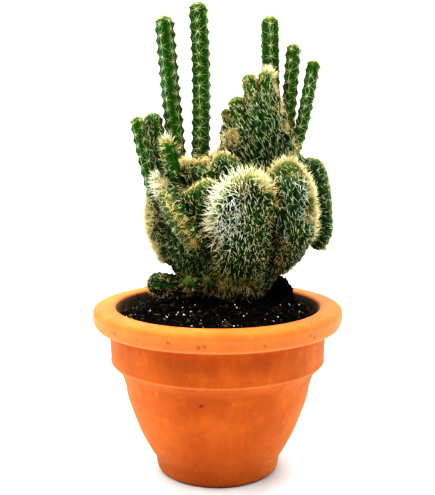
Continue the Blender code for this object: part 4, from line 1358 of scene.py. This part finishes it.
def grow_spines(name, at, way, rise, coat, gold, radius, cuts, curl, astray=0.0):
    """The spines of some areoles as one piece. A coat's row is one of COATS without its space.
    Roots stand on the skin, up to a distance astray from the areole's middle."""
    count = np.maximum(1, np.round(coat[:, 0]).astype(int))
    owner = np.repeat(np.arange(len(at)), count)
    order = np.concatenate([np.arange(number) for number in count])
    total = len(owner)
    turn = 2 * np.pi * (order + draw.uniform(-SPINE_TURN, SPINE_TURN, total)) / count[owner]
    turn += draw.uniform(0, ANY_TURN, len(at))[owner]
    least, most, comb, slant = coat[owner, 3:7].T
    lean = np.radians(least + (most - least) * draw.random(total))
    side = np.cross(way, rise)[owner]
    cos, sin = np.cos(np.radians(slant))[:, None], np.sin(np.radians(slant))[:, None]
    combed, other = rise[owner] * cos + side * sin, side * cos - rise[owner] * sin
    flat = unit(combed * (comb * np.cos(turn))[:, None] + other * np.sin(turn)[:, None])
    heading = way[owner] * np.cos(lean)[:, None] + flat * np.sin(lean)[:, None]
    length = coat[owner, 1] * draw.uniform(*SPINE_LENGTHS, total)
    strayed = astray * draw.uniform(-1, 1, (total, 2))
    near = at[owner] + combed * strayed[:, :1] + other * strayed[:, 1:]
    root = np.array([skin_tree.find_nearest(spot)[0][:] for spot in near])
    root += way[owner] * SPINE_LIFT
    free = length.copy()
    for i, (start, aim, reach) in enumerate(zip(root, heading, length)):
        away = skin_tree.ray_cast(start, aim, reach)[3]
        if away is not None:
            free[i] = away
    tip = root + heading * length[:, None]
    clear = tip[:, 2] > mound_height(tip[:, 0], tip[:, 1]) + SPINE_CLEAR
    clear &= (np.abs(tip[:, 0]) < SPINE_REACH[0]) & (tip[:, 2] < SPINE_REACH[1])
    kept = clear & (free > SPINE_FREE * length)
    root, heading, length, owner = root[kept], heading[kept], length[kept], owner[kept]
    sizes = np.column_stack([radius * draw.uniform(*SPINE_RADII, len(root))] * 2 + [length])
    mesh, verts_each = stamped_mesh(name, spike(cuts), root - heading * SPINE_SUNK,
                                    turned_frames(heading, draw.uniform(0, ANY_TURN, len(root))),
                                    sizes, draw.normal(0, curl, len(root)))
    tint = gold[owner] + draw.normal(0, SPINE_TINT, len(root))
    keep_float(mesh, "gold", np.repeat(np.clip(tint, 0, 1), verts_each))
    add_piece(name, mesh, needle_wax)


# The dome is white only up to a distance to the right and down to a height. Beyond, it fades
# within these lengths: it has fewer and shorter spines, more golden and more combed.
DOME_WHITE_X = 9.0
DOME_WHITE_Z = 150.0
DOME_FADE_X = 14.0
DOME_FADE_Z = 16.0
FADED_BARE = 0.5
FADED_SHORTER = 0.36
FADED_GOLD = 0.32
FADED_COMBED = 1.4
# Fans carry this many times the spines that their coats say.
CROWDED_MORE = 1.45
# What the nearness of a crest or a tip, or the depth of a cleft, does to a coat: shares of
# its count and length, degrees of its most lean, and gold. The gold from a cleft darkens its
# spines as painted shade.
CREST_MORE = 0.3
TIP_MORE = 0.5
CLEFT_BARE = 0.85
CREST_LONGER = 0.3
TIP_SHORTER = 0.25
CREST_UPRIGHT = 10
TIP_UPRIGHT = 20
YOUNG_GOLD = 0.3
CLEFT_SHADE_GOLD = 0.4
# Growth this old has spines of its own piece, browner and curled. Other fans' spines are two
# pieces, to the left and to the right of the middle.
OLD_ENOUGH = 0.35
OLD_GOLD = 0.2
BASE_CURL = 0.35
MIDDLE_X = 8
rightward = np.clip((spots[:, 0] - DOME_WHITE_X) / DOME_FADE_X, 0, 1)
downward = np.clip((DOME_WHITE_Z - spots[:, 2]) / DOME_FADE_Z, 0, 1)
faded = np.maximum(rightward, downward) * domed
count, length, golden, _, most, comb, _ = coats.T
count *= 1 - FADED_BARE * faded
length *= 1 - FADED_SHORTER * faded
golden += FADED_GOLD * faded
comb *= 1 + FADED_COMBED * faded
count *= np.where(plain, 1.0, CROWDED_MORE)
count *= (1 + CREST_MORE * crest_near + TIP_MORE * tip_near * ~plain) * (1 - CLEFT_BARE * cleft)
length *= 1 + CREST_LONGER * crest_near - TIP_SHORTER * tip_near * plain
most -= CREST_UPRIGHT * crest_near + TIP_UPRIGHT * tip_near * ~plain
# Gold from a cleft is painted shade on the spines there.
gilt = golden + YOUNG_GOLD * crest_near + YOUNG_GOLD * tip_near + CLEFT_SHADE_GOLD * cleft
gilt = np.clip(gilt, 0, 1)
base = (old > OLD_ENOUGH) & ~plain
gilt[base] = np.minimum(gilt[base] + OLD_GOLD, 1)
left = spots[:, 0] < MIDDLE_X
fans = ~plain & ~base & ~domed
for name, mask, radius, cuts, curl, astray in [
        ("shoot_spines", plain, SHOOT_SPINE_RADIUS, 2, 0.0, 0.0),
        ("left_spines", fans & left, SPINE_RADIUS, 2, 0.0, CROWDED_ASTRAY),
        ("right_spines", fans & ~left, SPINE_RADIUS, 2, 0.0, CROWDED_ASTRAY),
        ("dome_spines", ~base & domed, DOME_SPINE_RADIUS, 2, 0.0, CROWDED_ASTRAY),
        ("base_spines", base, SPINE_RADIUS, 3, BASE_CURL, CROWDED_ASTRAY)]:
    grow_spines(name, spots[mask], ways[mask], rises[mask], coats[mask], gilt[mask],
                radius, cuts, curl, astray)

# Crest spines: the growing edge of each fan carries a brush of longer spines over a strip of
# golden wool. Each entry is: spines to a step, their length, how golden they are at the first
# and at the last end of the ridge, and their most lean.
CREST_COAT = (3, 5.2, 0.5, 0.5, 72)
CREST_COATS = {
    "front_dome": (2, 9.8, 0.00, 0.90, 76), "right_front": (8, 5.8, 0.50, 0.50, 72),
    "left_edge": (13, 5.8, 0.48, 0.48, 70), "right_outer": (3, 4.0, 0.40, 0.20, 76),
    "left_front": (2, 4.8, 0.20, 0.85, 76), "upper_fan": (4, 4.4, 0.40, 0.60, 78),
    "middle_ridge": (12, 6.2, 0.50, 0.60, 76), "left_hollow": (6, 4.8, 0.60, 0.65, 76),
    "left_knuckle": (2, 3.6, 0.40, 0.30, 74), "middle_thumb": (3, 4.2, 0.40, 0.40, 74),
    "right_shoulder": (3, 4.2, 0.40, 0.60, 74), "front_pups": (4, 4.4, 0.55, 0.55, 74),
}
CREST_LEAN = 4
# Wool has this many hairs to a step where a crest is fully golden.
WOOL_HAIRS = 15
WOOL_LENGTH = 2.6
WOOL_LEAN = 85
WOOL_GOLD = (0.5, 0.85)
WOOL_RADIUS = 0.13
CREST_RADIUS = 0.13
# A tuft on a tip, and the tufts beside the crests after their middles, are: how far the tuft
# reaches, its number of hairs, their length and how golden they are.
TUFT_LEAN = 55
TIP_TUFT = (2.6, 34, 2.8, 0.45)
TUFTS = [
    (-35.5, -10.0, 177.5, 4.0, 90, 6.4, 0.25), (-33.0, -16.5, 172.5, 4.5, 90, 6.0, 0.25),
    (-29.0, -15.0, 199.0, 2.5, 50, 6.0, 0.50), (-38.5, -3.0, 172.0, 4.0, 70, 5.5, 0.30),
    (-33.2, -15.2, 175.4, 3.5, 150, 2.4, 0.85), (-18.4, -9.6, 187.0, 4.0, 300, 3.2, 0.60),
    (-13.0, 3.0, 189.0, 3.5, 90, 4.2, 0.50), (-8.0, 3.0, 188.5, 3.5, 90, 4.2, 0.50),
    (-2.0, 3.0, 191.0, 3.5, 90, 4.2, 0.50), (7.1, -6.4, 201.4, 5.0, 320, 4.0, 0.62),
    (30.4, -4.5, 238.0, 3.5, 110, 5.0, 0.50), (32.5, -4.8, 230.0, 3.0, 70, 3.6, 0.60),
    (35.0, -6.6, 218.0, 3.0, 70, 3.6, 0.60), (38.0, -4.6, 207.2, 3.5, 90, 3.6, 0.60),
    (45.6, 0.4, 197.2, 3.5, 90, 3.6, 0.55), (42.0, 0.0, 190.0, 4.0, 90, 3.6, 0.55),
    (13.7, -42.8, 175.0, 3.0, 100, 2.2, 0.85), (24.2, -39.2, 178.3, 6.0, 240, 5.2, 0.45),
    (38.7, -27.6, 140.1, 4.0, 100, 2.4, 0.85), (35.7, -22.9, 131.2, 3.0, 60, 2.4, 0.80),
    (-39.9, -6.7, 150.6, 4.5, 170, 4.4, 0.45), (-37.2, -5.5, 138.5, 4.0, 150, 4.4, 0.50),
    (-38.7, -5.8, 158.2, 4.5, 150, 4.4, 0.45), (-18.9, -30.5, 156.4, 2.5, 40, 3.0, 0.70),
    (51.5, -18.0, 172.0, 5.0, 160, 4.4, 0.45), (52.5, -18.0, 158.0, 5.0, 160, 4.4, 0.45),
]
crest_coats = []
for name, (_, _, _, share) in crests.items():
    count, length, first, last, most = CREST_COATS.get(name, CREST_COAT)
    crest_coats += [(count, length, first + (last - first) * part, CREST_LEAN, most, 1.0, 0)
                    for part in share]
crest_rows = [np.vstack([crest[i] for crest in crests.values()]) for i in range(3)]
kept = on_skin(crest_rows[0])
crest_at, crest_way, crest_rise, crest_coat = [
    rows[kept] for rows in (*crest_rows, np.array(crest_coats))]
grow_spines("crest_spines", crest_at, crest_way, crest_rise, crest_coat, crest_coat[:, 2],
            CREST_RADIUS, 2, 0.0, CREST_ASTRAY)
wool_coat = crest_coat.copy()
wool_coat[:, 0] = WOOL_HAIRS * crest_coat[:, 2]
wool_coat[:, 1] = WOOL_LENGTH
wool_coat[:, 4] = WOOL_LEAN
wool_gold = np.clip(WOOL_GOLD[0] * (1 + crest_coat[:, 2]), 0, WOOL_GOLD[1])
grow_spines("crest_wool", crest_at, crest_way, crest_rise, wool_coat, wool_gold, WOOL_RADIUS,
            1, 0.0, WOOL_ASTRAY)

tip_tufts = [(*line[-1], *TIP_TUFT) for name, (line, _) in SHOOTS.items() if name in PLAIN_SHOOTS]
tuft_rows = []
for *centre, reach, hairs, length, gold in TUFTS + tip_tufts:
    away = np.linalg.norm(verts - centre, axis=1)
    weight = np.exp(-(away / reach) ** 4)
    chosen = draw.choice(len(verts), hairs, p=weight / weight.sum())
    coat = (1, length, gold, 0, TUFT_LEAN, 1.0, 0)
    tuft_rows.append((verts[chosen], vert_ways[chosen], [coat] * hairs))
tuft_at, tuft_way, tuft_coat = [np.vstack(rows) for rows in zip(*tuft_rows)]
tuft_side = unit(np.cross(tuft_way, [[0.3, 0.4, 1.0]]))
grow_spines("wool_tufts", tuft_at, tuft_way, tuft_side, tuft_coat, tuft_coat[:, 2],
            WOOL_RADIUS, 2, 0.0)
